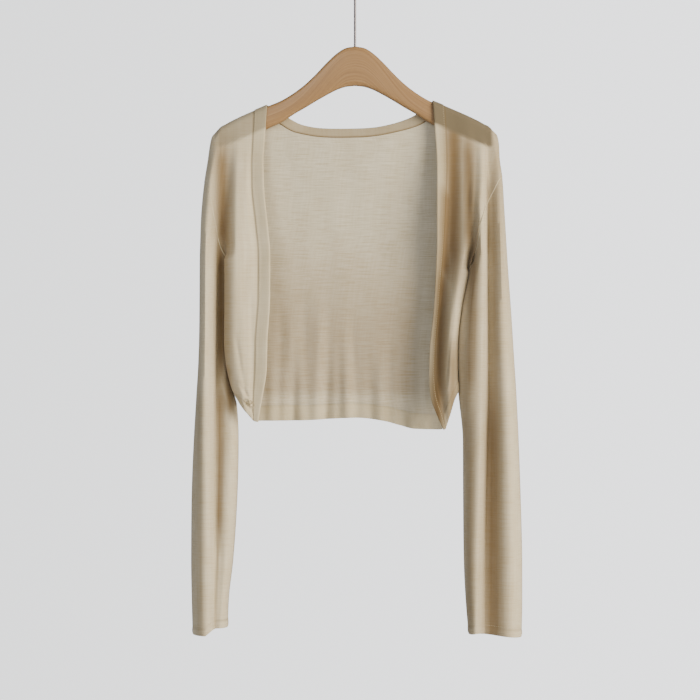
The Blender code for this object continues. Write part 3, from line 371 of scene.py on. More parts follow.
def sleeve_depth(side, face, out, drop):
    """Depth of the sleeve's surface at `out`, from its named lines."""
    lines = [sleeve_value(side, name, drop) for name in SLEEVE_LINES]
    depths = [None] + [line_depth(side, face, name, drop) for name in SLEEVE_LINES[1:]]
    q = (out - lines[1]) / (lines[0] - lines[1])
    depth = depths[1] * edge_round(q, OUTER_ROUND)
    for k in (1, 2, 3):
        q = (out - lines[k]) / (lines[k + 1] - lines[k])
        depth = depth + (depths[k + 1] - depths[k]) * ease(q)
    q = np.clip((out - lines[4]) / (lines[5] - lines[4]), 0.0, 1.0)
    below = armpit_share(side, drop)
    return depth + turn_to_edge(q, depths[4], depths[5], below) - depths[4]


def body_depth(side, face, out, drop):
    """Depth of the body's surface at `out`, band edge to armhole or side."""
    lines = [body_value(side, name, drop) for name in BODY_LINES]
    depths = [line_depth(side, face, name, drop) for name in BODY_LINES]
    depth = depths[4]
    for k in (3, 2, 1):
        q = (out - lines[k + 1]) / (lines[k] - lines[k + 1])
        depth = depth + (depths[k] - depths[k + 1]) * ease(q)
    below = armpit_share(side, drop)
    q = np.clip((out - lines[1]) / (lines[0] - lines[1]), 0.0, 1.0)
    depth = depth + turn_to_edge(q, depths[1], depths[0], below) - depths[1]
    past_groove = (out > lines[0]) & (below < 1.0)
    return np.where(past_groove, sleeve_depth(side, face, out, drop), depth)


def place(side, face, out, drop, depth):
    """World millimetres from out, drop and depth."""
    return np.stack([side * out, face * depth, -HOOK_HEIGHT - drop], axis=-1)


def unit_steps(grid):
    """Direction of the grid down its rows: the mean of the two unit steps at
    each point, so that a seam's end faces split the angle between pieces."""
    step = np.diff(grid, axis=0)
    step = step / np.maximum(np.linalg.norm(step, axis=-1, keepdims=True), 1e-6)
    return np.concatenate([step[:1], step[1:] + step[:-1], step[-1:]])


def sleeve_samples():
    """(line number, share) pairs across a sleeve's section, outer to inner.
    The outer and inner parts are spaced by angle so that they stay round."""
    samples = [(0, 0.0)]
    for part, steps in enumerate(ARM_STEPS):
        for step in range(1, steps + 1):
            share = step / steps
            if part == 0:
                share = 1.0 - math.cos(share * math.pi / 2.0)
            if part == len(ARM_STEPS) - 1:
                share = math.sin(share * math.pi / 2.0)
            samples.append((part, share))
    return samples


def sleeve_line(side, face, part, share, drop):
    """Points down one line of a sleeve."""
    start = sleeve_value(side, SLEEVE_LINES[part], drop)
    end = sleeve_value(side, SLEEVE_LINES[part + 1], drop)
    out = start + share * (end - start)
    depth = sleeve_depth(side, face, out, drop) * top_turn(out, drop)
    return place(side, face, out, drop, depth)


def line_drop(drops, part, share):
    """Drop on a sleeve line between two named ones."""
    return drops[part] + share * (drops[part + 1] - drops[part])


def armhole_curve(side, face):
    """Points of the armhole seam, shoulder to armpit."""
    points = []
    for part, share in sleeve_samples():
        drop = line_drop(ARMHOLE_DROP[side], part, share)
        points.append(sleeve_line(side, face, part, share, np.array([drop]))[0])
    return np.array(points)


def row_drops(side, first, last):
    """Drops of the rows down a front's band seam: close together where the
    cloth turns over the shoulder, even to the armpit, even to the hem."""
    arm_rows = len(sleeve_samples()) - 1
    armpit = ARMHOLE_DROP[side][-1] - CHEST_SHORT
    turn = [first + offset for offset in TOP_OFFSETS]
    chest = np.linspace(turn[-1], armpit, arm_rows - len(TOP_OFFSETS) + 2)[1:]
    waist = np.linspace(armpit, last - HEM_STEP, SIDE_STEPS + 1)[1:]
    return np.concatenate([turn, chest, waist, [last]])


def patch(top, bottom, first, last, across, down):
    """Surface between four border curves: each point adds what its row ends
    and its column ends ask for and takes away the corners once."""
    u = across.reshape(1, -1, 1)
    v = down.reshape(-1, 1, 1)
    edges = (1 - v) * top[None] + v * bottom[None] + (1 - u) * first[:, None] + u * last[:, None]
    corners = ((1 - u) * (1 - v) * top[0] + u * (1 - v) * top[-1]
               + (1 - u) * v * bottom[0] + u * v * bottom[-1])
    return edges - corners


def shoulder_path(side, start_out):
    """(out, drop) from the neck along the shoulder and down over its end."""
    along = np.linspace(start_out, SHOULDER_END_OUT, PATH_STEPS)
    over = np.stack([along, shoulder_drop(along)], 1)
    falls = np.linspace(SHOULDER_END_DROP, ARMHOLE_DROP[side][0], FALL_STEPS)
    down = np.stack([sleeve_value(side, "outer", falls), falls], 1)
    return np.concatenate([over, down])


def resample(path, shares):
    """Points at given shares of a polyline's length."""
    lengths = np.linalg.norm(np.diff(path, axis=0), axis=1)
    reach = np.concatenate([[0.0], np.cumsum(lengths)])
    at = np.asarray(shares) * reach[-1]
    return np.stack([np.interp(at, reach, path[:, k]) for k in range(path.shape[1])], 1)


def outer_border(side, face):
    """(out, drop) down the armhole seam and then the side seam."""
    arm = armhole_curve(side, face)
    arm_drop = -HOOK_HEIGHT - arm[:, 2]
    room = np.linspace(0.0, 1.0, len(arm)) ** 2
    apart = sleeve_value(side, "inner", arm_drop[-1]) - body_value(side, "side", arm_drop[-1])
    gap_in = room * apart
    arm = np.stack([np.abs(arm[:, 0]) - gap_in, arm_drop], 1)
    falls = np.linspace(arm_drop[-1], SIDE_CORNER_DROP[side] - HEM_STEP, SIDE_STEPS + 1)[1:]
    falls = np.append(falls, SIDE_CORNER_DROP[side])
    down = np.stack([body_value(side, "side", falls), falls], 1)
    return np.concatenate([arm, down])


def front_flat(side):
    """(out, drop) grid of a front, band seam to armhole and side seam."""
    across = np.array(FRONT_ACROSS)
    seam_top = float(body_value(side, "seam", 0.0))
    top_drop = float(shoulder_drop(seam_top))
    drops = row_drops(side, top_drop, FRONT_CORNER_DROP[side])
    first = np.stack([body_value(side, "seam", drops), drops], 1)
    last = outer_border(side, FRONT)
    first[0, 0] = seam_top
    top = resample(shoulder_path(side, seam_top), across)
    bottom = resample(np.stack([first[-1], last[-1]]), across)
    down = (drops - drops[0]) / (drops[-1] - drops[0])
    return patch(top, bottom, first, last, across, down)


def band_flat(side):
    """(out, drop) grid of a front band, free edge to just before its seam."""
    seam = front_flat(side)[:, 0]
    edge_top = float(body_value(side, "edge", 0.0))
    shift = float(shoulder_drop(edge_top)) - seam[0, 1]
    fade = 1.0 - ease((seam[:, 1] - seam[0, 1]) / BAND_TURN)
    edge_drop = seam[:, 1] + shift * fade
    edge_drop[-1] += BAND_POINT
    edge = np.stack([body_value(side, "edge", edge_drop), edge_drop], 1)
    share = np.linspace(0.0, 1.0, BAND_STEPS + 1)[:-1].reshape(1, -1, 1)
    return edge[:, None] + (seam - edge)[:, None] * share


def hem_waves(x, drop):
    """Soft waves that grow towards the back hem."""
    grow = ease((drop - HEM_WAVE_START) / (HEM_WAVE_FULL - HEM_WAVE_START))
    inside = ease((HEM_WAVE_REACH - np.abs(x - HEM_WAVE_MIDDLE)) / HEM_WAVE_FADE)
    turn = 2.0 * math.pi * x / HEM_WAVE_PITCH
    sway = np.sin(turn) + 0.5 * np.sin(HEM_RIPPLE_TIMES * turn + 1.0)
    return HEM_WAVE * grow * inside * sway


def back_depth(x, drop):
    """Depth of the back's surface behind the middle plane."""
    out = np.abs(x)
    left = body_depth(LEFT, BACK, out, drop)
    right = body_depth(RIGHT, BACK, out, drop)
    mix = ease((x + SIDES_MIX) / (2.0 * SIDES_MIX))
    return (left + (right - left) * mix) * top_turn(out, drop) + hem_waves(x, drop)


def neck_curve(rows, shares):
    """(x, drop) at shares along a neck line."""
    knots = np.linspace(0.0, 1.0, len(rows))
    fine = np.linspace(0.0, 1.0, 200)
    path = np.stack([smooth(fine, knots, column(rows, NECK_COLUMNS, "x")),
                     smooth(fine, knots, column(rows, NECK_COLUMNS, "drop"))], 1)
    return resample(path, shares)


def neck_shares():
    """Shares along the neck, close together where it crosses the wood."""
    ends = np.array(NECK_END_SHARES)
    even = np.linspace(ends[-1], 1.0 - ends[-1], BACK_NECK_STEPS - 2 * len(ends) + 3)
    return np.concatenate([ends[:-1], even, 1.0 - ends[-2::-1]])


def back_flat():
    """(x, drop) grid of the back, from the shoulders and neck to the hem, and
    its shares across."""
    borders = {}
    for side, neck_row in ((LEFT, NECK_SEAM_ROWS[0]), (RIGHT, NECK_SEAM_ROWS[-1])):
        points = resample(shoulder_path(side, abs(neck_row[0])), FRONT_ACROSS)
        borders[side] = points * np.array([side, 1.0])
    neck = neck_curve(NECK_SEAM_ROWS, neck_shares())
    top = np.concatenate([borders[LEFT][:0:-1], neck, borders[RIGHT][1:]])
    first = outer_border(LEFT, BACK) * np.array([LEFT, 1.0])
    last = outer_border(RIGHT, BACK) * np.array([RIGHT, 1.0])
    across = back_shares(top[:, 0])
    hem_x = column(HEM_ROWS, HEM_COLUMNS, "x")
    hem_share = (hem_x - hem_x[0]) / (hem_x[-1] - hem_x[0])
    hem_drop = column(HEM_ROWS, HEM_COLUMNS, "drop")
    bottom = np.stack([smooth(across, hem_share, hem_x), smooth(across, hem_share, hem_drop)], 1)
    turn = np.array(TOP_OFFSETS) / BACK_LENGTH
    rest = len(first) - len(turn)
    even = np.linspace(turn[-1], 1.0 - HEM_STEP / BACK_LENGTH, rest)[1:]
    down = np.concatenate([turn, even, [1.0]])
    return patch(top, bottom, first, last, across, down), across


def back_shares(top_x):
    """Shares across the back, close together at both side folds."""
    by_place = (top_x - top_x[0]) / (top_x[-1] - top_x[0])
    even = np.linspace(0.0, 1.0, len(top_x))
    return (1.0 - BACK_EVEN) * by_place + BACK_EVEN * even


def neck_grid():
    """Middle surface of the band round the back neck, free edge to seam."""
    shares = neck_shares()
    seam = neck_curve(NECK_SEAM_ROWS, shares)
    edge = neck_curve(NECK_EDGE_ROWS, shares)
    share = np.linspace(0.0, 1.0, BAND_STEPS + 1)
    flat = edge[None] + (seam - edge)[None] * share[:, None, None]
    x, drop = flat[..., 0], flat[..., 1]
    lean = NECK_LEAN * ease(np.sin(math.pi * shares)) * (1.0 - share[:, None])
    return place(1.0, BACK, x, drop, back_depth(x, drop) + lean)


def hook_path():
    """Wire centre line: sunk shank, straight shank, bend and open ring."""
    shank_top = SHANK_SHOWN - HOOK_HEIGHT
    centre = shank_top + HOOK_RISE
    points = [(0.0, -HOOK_HEIGHT - SHANK_SUNK), (0.0, 0.5 * SHANK_SHOWN - HOOK_HEIGHT),
              (0.0, shank_top)]
    for step in range(1, BEND_STEPS):
        turned = -HOOK_START * step / BEND_STEPS
        points.append((HOOK_BEND * (1.0 - math.cos(turned)),
                       shank_top + HOOK_BEND * math.sin(turned)))
    for angle in np.linspace(HOOK_START, HOOK_END, HOOK_STEPS):
        points.append((HOOK_CIRCLE * math.cos(angle), centre + HOOK_CIRCLE * math.sin(angle)))
    return points


# ------------------------------------------------------------- fine cloth sizes
KNIT_WALL = 0.8          # single jersey
BAND_WALL = 2.3          # folded self band
HEM_WALL = 1.9           # folded hem
EDGE_SOFT = 1.6          # width over which a band's edge rounds off
ROW_FINE = 7             # fine rows to each row of the solids
BAND_FINE = 9            # fine steps to each step across a band
FRONT_FINE = 6
BACK_FINE = 4
CUFF_TURN = 9.5          # height of the turned cuff
NECK_FINE = 8
SLEEVE_DOWN = 210        # rows down a sleeve
SLEEVE_ACROSS = 2        # fine steps to each step across its section
SLEEVE_EDGE_PLAIN = 7.0  # creases fade this near a sleeve's edges
SLEEVE_TOP_PLAIN = 30.0  # and this near its armhole
BAND_END_FULL = 0.8      # added to the distance from a band's lower end, which stays fuller
BACK_RUMPLE = 1.2        # the back is this much more uneven than the rest
BACK_FOLD_START = 6.0    # the back's creases begin this far below the shoulder
BACK_FOLD_FULL = 30.0    # and reach their height over this drop
SEAM_RADIUS = 0.75       # radius of the ridge along an armhole seam
THREAD_RADIUS = 0.42
CUFF_STITCH_ROW = -5     # row of a sleeve that its stitches follow
BAND_STITCH_START = 4    # first row of a band's stitches
# stations along a stitch and its half-widths there, as shares
STITCH_STATIONS = (-0.5, -0.3, 0.3, 0.5)
STITCH_WIDTHS = (0.05, 0.5, 0.5, 0.05)

# how dark, where and how wide the shadow beside each seam is
SEAM_LINES = {
    "band": (0.55, 0.8, 1.5),
    "front_hem": (0.35, -0.6, 1.4),
    "back_hem": (0.28, -0.6, 1.4),
    "neck": (0.6, 0.5, 1.3),
    "cuff": (0.4, CUFF_TURN + 0.8, 1.5),
    "armhole": (0.3, 0.5, 1.6),
}
# furrow shade: its share, the depth that gives it in full, columns of reach
HOLLOWS = {"front": (0.6, 7.0, 10), "back": (0.4, 10.0, 9), "sleeve": (0.5, 9.0, 12)}

# Soft creases: they run from one (across, drop) to the other, with a
# half-width and a height; a negative height is a furrow. "across" is out on
# the fronts and sleeves and x on the back. The columns: from across, from
# drop, to across, to drop, half-width, height.
CREASES = {
    "front_left": (
        (149, 130, 150, 330, 5, 0.9),
        (141, 300, 139, 470, 3.5, -1.3),
        (152, 330, 150, 500, 5, 1.1),
        (163, 380, 146, 480, 3, -1.2),
        (155, 466, 138, 493, 2.2, 1.7),
        (152, 472, 137, 500, 1.9, -1.7),
        (149, 462, 138, 478, 2, 1.3),
        (158, 455, 144, 476, 2.4, -1.3),
    ),
    "front_right": (
        (143, 110, 144, 250, 5, 0.8),
        (136, 330, 122, 470, 2.6, -1.4),
        (131, 380, 124, 500, 2.4, 1.2),
        (119, 455, 118, 500, 3, -1.2),
        (132, 452, 116, 500, 2.4, -1.3),
    ),
    "back": (
        (-101, 330, -103, 530, 6, 1.2),
        (-88, 350, -89, 530, 5, -1.4),
        (-69, 320, -70, 530, 6.5, 1.6),
        (-50, 330, -49, 530, 6, -1.8),
        (-36, 335, -36, 530, 7, 1.9),
        (-14, 345, -14, 530, 5.5, -1.3),
        (-2, 350, -2, 530, 5, 1.6),
        (24, 380, 24, 530, 7, -1.2),
        (48, 390, 49, 530, 5, 1.3),
        (66, 400, 67, 530, 6, -1.4),
        (-130, 150, -60, 176, 9, 0.5),
        (118, 150, 60, 178, 9, 0.5),
        (-164, 290, -110, 330, 7, 1.1),
        (-166, 318, -118, 372, 7, -0.9),
        (150, 300, 100, 345, 7, 1.1),
        (146, 326, 108, 380, 7, -0.9),
    ),
    "sleeve_left_front": (
        (205, 300, 206, 560, 4, 0.9),
        (194, 240, 194, 700, 3.2, -0.8),
        (197, 560, 196, 770, 3, 0.9),
        (210, 420, 213, 780, 4.5, -0.9),
        (170, 500, 180, 760, 4, 0.8),
        (204, 520, 192, 566, 6, -0.7),
        (178, 640, 184, 790, 2.4, -1),
    ),
    "sleeve_left_back": (
        (206, 250, 208, 760, 5, 1.5),
        (194, 270, 196, 740, 5, -2.6),
        (183, 300, 184, 780, 4.5, 1.6),
        (176, 420, 174, 780, 4, -1.5),
        (200, 210, 184, 262, 6, -1.4),
    ),
    "sleeve_right_front": (
        (198, 300, 203, 560, 3.6, -0.9),
        (208, 380, 214, 790, 5, 1.1),
        (186, 330, 186, 760, 3, 0.9),
        (192, 420, 196, 780, 3.2, -0.9),
        (160, 360, 158, 700, 4.5, -1),
        (150, 420, 154, 780, 4, 1.1),
        (206, 540, 190, 588, 6, -0.7),
    ),
    "sleeve_right_back": (
        (206, 250, 210, 770, 5.5, 1.6),
        (192, 270, 196, 760, 5, -2.6),
        (178, 300, 178, 780, 5, 1.7),
        (163, 380, 162, 780, 5, -1.8),
        (198, 206, 180, 262, 6, -1.4),
    ),
}


def along_stroke(across, drop, start_across, start_drop, end_across, end_drop):
    """Share of the way down a stroke, and the distance from its line."""
    run, fall = end_across - start_across, end_drop - start_drop
    length = math.hypot(run, fall)
    along = ((across - start_across) * run + (drop - start_drop) * fall) / length ** 2
    apart = ((across - start_across) * fall - (drop - start_drop) * run) / length
    return along, apart


def creases(region, across, drop):
    """Sum of a region's creases: height x exp(-(distance / half width)^2),
    faded in over the first third of each one's length and out over the last
    fifth."""
    total = 0.0
    for *stroke, half_width, height in CREASES[region]:
        along, apart = along_stroke(across, drop, *stroke)
        fade = ease(along / CREASE_IN) * ease((1.0 - along) / CREASE_OUT)
        total = total + height * fade * np.exp(-(apart / half_width) ** 2)
    return total


TONE_PAST = 0.15         # a stroke begins and ends this share of its length outside
TONE_FADE = 0.4          # and fades in and out over this share
CREASE_IN = 0.35         # a crease fades in over this share of its length
CREASE_OUT = 0.2         # and out over this one

# Painted shade: strokes of a deeper brown where little light comes through the
# cloth because it lies two or three deep, hangs close behind a fold or lies in
# the lamps' shadow. Each row is a stroke from one (across, drop) to the other;
# its half-width goes from the first to the last, and "share" is how much of the
# painted shade it takes. The columns: from across, from drop, to across, to
# drop, first half-width, last one, share.
PAINTED_SHADE_STROKES = {
    "left_front": (
        (180, 120, 180, 290, 13.5, 11, 0.84),
        (183, 236, 181, 470, 8, 9.5, 0.84),
        (182, 452, 183, 600, 8, 6, 0.80),
        (181, 500, 184, 680, 7, 5.5, 0.85),
        (176.5, 430, 190.5, 810, 2.4, 2, 0.55),
        (172, 262, 171, 486, 8, 9, 0.42),
        (173, 425, 168, 505, 8, 7, 0.85),
        (211, 190, 217, 800, 4, 9, 0.25),
        (209.5, 430, 208, 880, 5, 5.5, 0.48),
        (159, 300, 154, 520, 14, 14, 0.13),
    ),
    "right_front": (
        (134, 60, 132, 340, 18, 16, 0.88),
        (153, 105, 155, 300, 14, 11, 0.84),
        (179.5, 168, 178.5, 300, 3.2, 3, 0.60),
        (127, 170, 120, 340, 16, 15, 0.88),
        (120, 250, 108, 580, 13, 15, 0.90),
        (132, 390, 129, 570, 8, 8, 0.75),
        (161, 225, 154, 500, 9, 10, 0.82),
        (166, 430, 167, 900, 6, 7, 0.22),
        (152, 360, 152, 610, 11, 9, 0.55),
        (189, 60, 186, 700, 12, 15, 0.58),
        (185, 400, 188, 960, 14, 19, 0.82),
        (157, 430, 154, 850, 9, 8, 0.62),
    ),
    "back": (
        (-150, 200, -146, 480, 12, 10, 0.30),
        (140, 220, 130, 480, 8, 8, 0.06),
    ),
    "left_back": (
        (195, 230, 196, 800, 7, 7, 0.60),
        (176, 400, 174, 800, 5, 5, 0.35),
    ),
    "right_back": (
        (192, 230, 196, 800, 7, 7, 0.60),
        (163, 360, 162, 800, 6, 6, 0.40),
    ),
}


def painted_shade(region, across, drop):
    """Share of the painted shade at each point: the strongest stroke there, soft
    across it and faded over the first and last quarter of its length."""
    total = 0.0
    for *stroke, first_half, last_half, share in PAINTED_SHADE_STROKES[region]:
        along, apart = along_stroke(across, drop, *stroke)
        half = first_half + (last_half - first_half) * np.clip(along, 0.0, 1.0)
        fade = ease((along + TONE_PAST) / TONE_FADE) * ease((1.0 + TONE_PAST - along) / TONE_FADE)
        total = np.maximum(total, share * fade * np.exp(-(apart / half) ** 2))
    return total


def rumple(across, drop, seed):
    """Very shallow unevenness of hung jersey: three crossed sine waves."""
    return (0.22 * np.sin(across / 11.0 + 0.8 * seed) * np.sin(drop / 37.0 + seed)
            + 0.16 * np.sin(across / 6.3 - drop / 61.0 + 2.1 * seed)
            + 0.14 * np.sin(across / 17.0 + drop / 23.0 - seed))


def refine(values, steps, axis):
    """Curve through a grid's points along one axis, `steps` to each span: each
    span is the cubic whose end slopes join its neighbours' points."""
    values = np.moveaxis(values, axis, 0)
    ends = (2.0 * values[:1] - values[1:2], values, 2.0 * values[-1:] - values[-2:-1])
    wide = np.concatenate(ends)
    count = len(values) - 1
    at = np.arange(count * steps + 1) / steps
    low = np.minimum(at.astype(int), count - 1)
    q = (at - low).reshape([-1] + [1] * (values.ndim - 1))
    p0, p1, p2, p3 = wide[low], wide[low + 1], wide[low + 2], wide[low + 3]
    fine = 0.5 * (2.0 * p1 + (p2 - p0) * q + (2.0 * p0 - 5.0 * p1 + 4.0 * p2 - p3) * q ** 2
                  + (3.0 * p1 - p0 - 3.0 * p2 + p3) * q ** 3)
    return np.moveaxis(fine, 0, axis)


def outward(grid, ring=False):
    """Unit normals: the cross product of the mean steps across and down."""
    if ring:
        wide = np.concatenate([grid[:, -1:], grid, grid[:, :1]], axis=1)
        across = wide[:, 2:] - wide[:, :-2]
    else:
        across = unit_steps(grid.transpose(1, 0, 2)).transpose(1, 0, 2)
    normal = np.cross(across, unit_steps(grid))
    length = np.linalg.norm(normal, axis=-1, keepdims=True)
    return normal / np.maximum(length, 1e-9)


def hollow(which, depth, both_ways=False):
    """Shade of the points that lie in a furrow: its full share where a point is
    HOLLOWS' depth behind the mean of the columns within reach to either side.
    Both ways, it shades the points in front of their mean as well."""
    share, full, reach = HOLLOWS[which]
    count = depth.shape[1]
    padded = np.pad(depth, ((0, 0), (reach, reach)), mode="edge")
    total = np.cumsum(np.pad(padded, ((0, 0), (1, 0))), axis=1)
    mean = (total[:, 2 * reach + 1:] - total[:, :count]) / (2 * reach + 1)
    behind = np.abs(mean - depth) if both_ways else mean - depth
    return share * ease(behind / full)


def lengths(grid, axis):
    """Distance along a grid's lines from their start, and their whole length."""
    step = np.linalg.norm(np.diff(grid, axis=axis), axis=-1)
    start = np.zeros_like(np.take(step, [0], axis=axis))
    reach = np.concatenate([start, np.cumsum(step, axis=axis)], axis=axis)
    return reach, np.take(reach, [-1], axis=axis)


def closed(values, axis=1):
    """A ring's values with the first one again at the end."""
    return np.concatenate([values, np.take(values, [0], axis=axis)], axis=axis)


def quads(values):
    """The four corner values of every cell of a grid, in turn."""
    corners = (values[:-1, :-1], values[:-1, 1:], values[1:, 1:], values[1:, :-1])
    return np.stack(corners, axis=2).reshape((-1, 4) + values.shape[2:])


def cloth_piece(name, grid, normal, thick, shade, finish, ring=False):
    """Closed wall round a grid of middle points: half of `thick` is laid off
    along the normals to either side, and the borders are joined by a rim. The
    UV map is the distance across the cloth and the height in metres."""
    rows, cols = grid.shape[:2]
    half = 0.5 * np.broadcast_to(thick, (rows, cols))[..., None] * normal
    points = np.concatenate([(grid + half).reshape(-1, 3), (grid - half).reshape(-1, 3)])
    layer = rows * cols
    index = np.arange(layer).reshape(rows, cols)
    u = lengths(closed(grid) if ring else grid, 1)[0]
    if grid[0, 0, 0] * grid[0, -1, 0] < 0.0 and not ring:
        middle = (np.arange(rows), np.abs(grid[..., 0]).argmin(axis=1))
        u = u - u[middle][:, None] - grid[..., 0][middle][:, None]
    v = -grid[..., 2]
    borders = [np.s_[0, ::-1], np.s_[-1, :]]
    if ring:
        v, index = closed(v), closed(index)
    else:
        borders += [np.s_[:, 0], np.s_[::-1, -1]]
    flat = np.stack([u, v], axis=-1)
    faces, uv = quads(index), quads(flat)
    faces = [faces, faces[:, ::-1] + layer]
    uv = [uv, uv[:, ::-1]]
    for border in borders:
        p, q = index[border][:-1], index[border][1:]
        here, there = flat[border][:-1], flat[border][1:]
        faces.append(np.stack([p, q, q + layer, p + layer], axis=1))
        uv.append(np.stack([here, there, there, here], axis=1))
    faces, uv = np.concatenate(faces), np.concatenate(uv)
    if turned_in(points, faces[:len(faces) // 4]):
        faces, uv = faces[:, ::-1], uv[:, ::-1]
    piece = mesh_piece(name, points, faces.tolist(), finish)
    lay_uv(piece, uv)
    for word, values in shade.items():
        store = piece.data.attributes.new(word, "FLOAT", "POINT")
        store.data.foreach_set("value", np.tile(np.broadcast_to(values, (rows, cols)).ravel(), 2))
    return piece


def lay_uv(piece, uv):
    """Store the corners' places on the cloth, or round the wood, in metres."""
    piece.data.uv_layers.new(name="cloth").data.foreach_set("uv", (uv * MM).ravel())


def turned_in(points, faces):
    """True if the outer layer's faces point towards the inner layer."""
    half = len(points) // 2
    a, b, c = (points[faces[:, k]] for k in (0, 1, 2))
    normal = np.cross(b - a, c - a)
    lift = points[faces[:, 0]] - points[(faces[:, 0] + half) % len(points)]
    return float((normal * lift).sum()) < 0.0


def mesh_piece(name, points, faces, finish, folds=True):
    """Smooth-shaded object in metres that rides with the part. With folds, its
    edges stay sharp where it turns by more than 60 degrees."""
    mesh = bpy.data.meshes.new(name)
    mesh.from_pydata((points * MM).tolist(), [], faces)
    mesh.validate()
    mesh.shade_smooth()
    if folds:
        mesh.set_sharp_from_angle(angle=math.radians(60.0))
    mesh.materials.append(finish)
    piece = bpy.data.objects.new(name, mesh)
    bpy.context.scene.collection.objects.link(piece)
    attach(piece, "root")
    return piece


# ------------------------------------------------------------------ materials
def linear(hex_colour):
    """Linear colour of an sRGB hex value."""
    parts = [int(hex_colour[k:k + 2], 16) / 255.0 for k in (1, 3, 5)]
    rgb = [p / 12.92 if p <= 0.04045 else ((p + 0.055) / 1.055) ** 2.4 for p in parts]
    return (*rgb, 1.0)


def node(tree, kind, settings=None, inputs=None):
    """Add a node: `settings` are its properties, `inputs` its sockets, each a
    value or another node's output."""
    made = tree.nodes.new(kind)
    for key, value in (settings or {}).items():
        setattr(made, key, value)
    for key, value in (inputs or {}).items():
        if isinstance(value, bpy.types.NodeSocket):
            tree.links.new(value, made.inputs[key])
        else:
            made.inputs[key].default_value = value
    return made


def new_finish(name, constants):
    """Material with one Principled shader whose constants are set on it."""
    made = bpy.data.materials.new(name)
    made.use_nodes = True
    shader = made.node_tree.nodes["Principled BSDF"]
    for key, value in constants.items():
        shader.inputs[key].default_value = value
    return made, made.node_tree, shader


def ramp(tree, fac, stops):
    """Colour ramp through (place, hex colour) stops."""
    made = node(tree, "ShaderNodeValToRGB", inputs={"Fac": fac})
    keys = made.color_ramp.elements
    while len(keys) < len(stops):
        keys.new(0.5)
    for key, (at, colour) in zip(keys, stops):
        key.position = at
        key.color = linear(colour)
    return made.outputs["Color"]


def mixed(tree, share, first, second):
    """Mix of two colours, by a share or another node's output."""
    made = node(tree, "ShaderNodeMix", {"data_type": "RGBA"}, {0: share, 6: first, 7: second})
    return made.outputs[2]


def maths(tree, operation, first, second):
    """Clamped arithmetic on two values."""
    return node(tree, "ShaderNodeMath", {"operation": operation, "use_clamp": True},
                {0: first, 1: second}).outputs[0]


def noise(tree, place_on, stretch, detail=2.0, roughness=0.5, distortion=0.0):
    """Value of a noise over a place that is stretched by three factors."""
    stretched = node(tree, "ShaderNodeMapping", inputs={0: place_on, "Scale": stretch})
    return node(tree, "ShaderNodeTexNoise", inputs={
        "Vector": stretched.outputs[0], "Scale": 1.0, "Detail": detail, "Roughness": roughness,
        "Distortion": distortion}).outputs[0]


def finished(tree, shader, colour, height, strength, distance):
    """Join a colour and a relief `distance` metres high to a shader."""
    tree.links.new(colour, shader.inputs["Base Color"])
    bump = node(tree, "ShaderNodeBump", inputs={"Strength": strength, "Distance": distance,
                                                "Height": height})
    tree.links.new(bump.outputs[0], shader.inputs["Normal"])


# stretch of each noise along and across the cloth, the wood or the wire
COURSES = (34.0, 820.0, 1.0)
WALES = (390.0, 16.0, 1.0)
CLOUDS = (26.0, 20.0, 1.0)
LONG_GRAIN = (9.0, 330.0, 1.0)
FLECKS = (150.0, 1500.0, 1.0)
DRAW_LINES = (2600.0, 2600.0, 60.0)


# Viscose and nylon jersey knitted on a fine gauge, beige and a little sheer:
# matt, with a faint sheen at a glance, slubs that run along the courses and
# wales that run down it. Three attributes paint light and shade into its colour:
# "furrow" mixes in the deep colour, a painted warm brown shade in furrows, folds
# and shaded places, where two layers of it also lie in each other's light; the
# seam attribute mixes in the seam colour, a painted shadow line beside each
# seam; "wood_under" paints the wood seen through the cloth, which looks greyer
# there, with some painted shade over it on the right.
# Real wales are 0.8 mm apart; they are drawn 2.6 mm apart so that they show.
def jersey(name, light, mid, dark, deep, over_wood, seam, slub):
    made, tree, shader = new_finish(name, {
        "Roughness": 0.92, "Specular IOR Level": 0.22, "Sheen Weight": 0.22,
        "Sheen Roughness": 0.45, "Sheen Tint": linear("#fff4e0"),
    })
    place_on = node(tree, "ShaderNodeUVMap", {"uv_map": "cloth"}).outputs[0]
    slubs = noise(tree, place_on, COURSES, 3.0, 0.6)
    ribs = noise(tree, place_on, WALES)
    clouds = noise(tree, place_on, CLOUDS, 3.0, 0.55)
    base = ramp(tree, clouds, ((0.3, mid), (0.7, light)))
    base = mixed(tree, slub, base, ramp(tree, slubs, ((0.36, dark), (0.5, mid), (0.66, light))))
    base = mixed(tree, 0.10, base, ramp(tree, ribs, ((0.40, dark), (0.60, light))))
    # mix in the painted shade, the painted seam shadows and the wood seen through the cloth
    for word, colour in (("furrow", deep), ("wood_under", over_wood), ("seam_shadow", seam)):
        share = node(tree, "ShaderNodeAttribute", {"attribute_name": word}).outputs["Fac"]
        base = mixed(tree, share, base, linear(colour))
    relief = maths(tree, "ADD", maths(tree, "MULTIPLY", slubs, 0.6),
                   maths(tree, "MULTIPLY", ribs, 0.4))
    finished(tree, shader, base, relief, 0.22, 0.0006)
    return made


# Beech, sanded and given a satin lacquer: long straight grain along the arch,
# short darker flecks, and soft gloss from the lacquer.
def beech(name):
    made, tree, shader = new_finish(name, {
        "Roughness": 0.42, "Coat Weight": 0.18, "Coat Roughness": 0.25, "Specular IOR Level": 0.45,
    })
    place_on = node(tree, "ShaderNodeUVMap", {"uv_map": "cloth"}).outputs[0]
    grain = noise(tree, place_on, LONG_GRAIN, 5.0, 0.6, 0.4)
    flecks = noise(tree, place_on, FLECKS)
    base = ramp(tree, grain, ((0.30, "#7e5f3c"), (0.5, "#8f6e45"), (0.72, "#9c7c54")))
    base = mixed(tree, 0.16, base, ramp(tree, flecks, ((0.35, "#6f5234"), (0.5, "#8f6e45"))))
    finished(tree, shader, base, grain, 0.12, 0.0004)
    return made


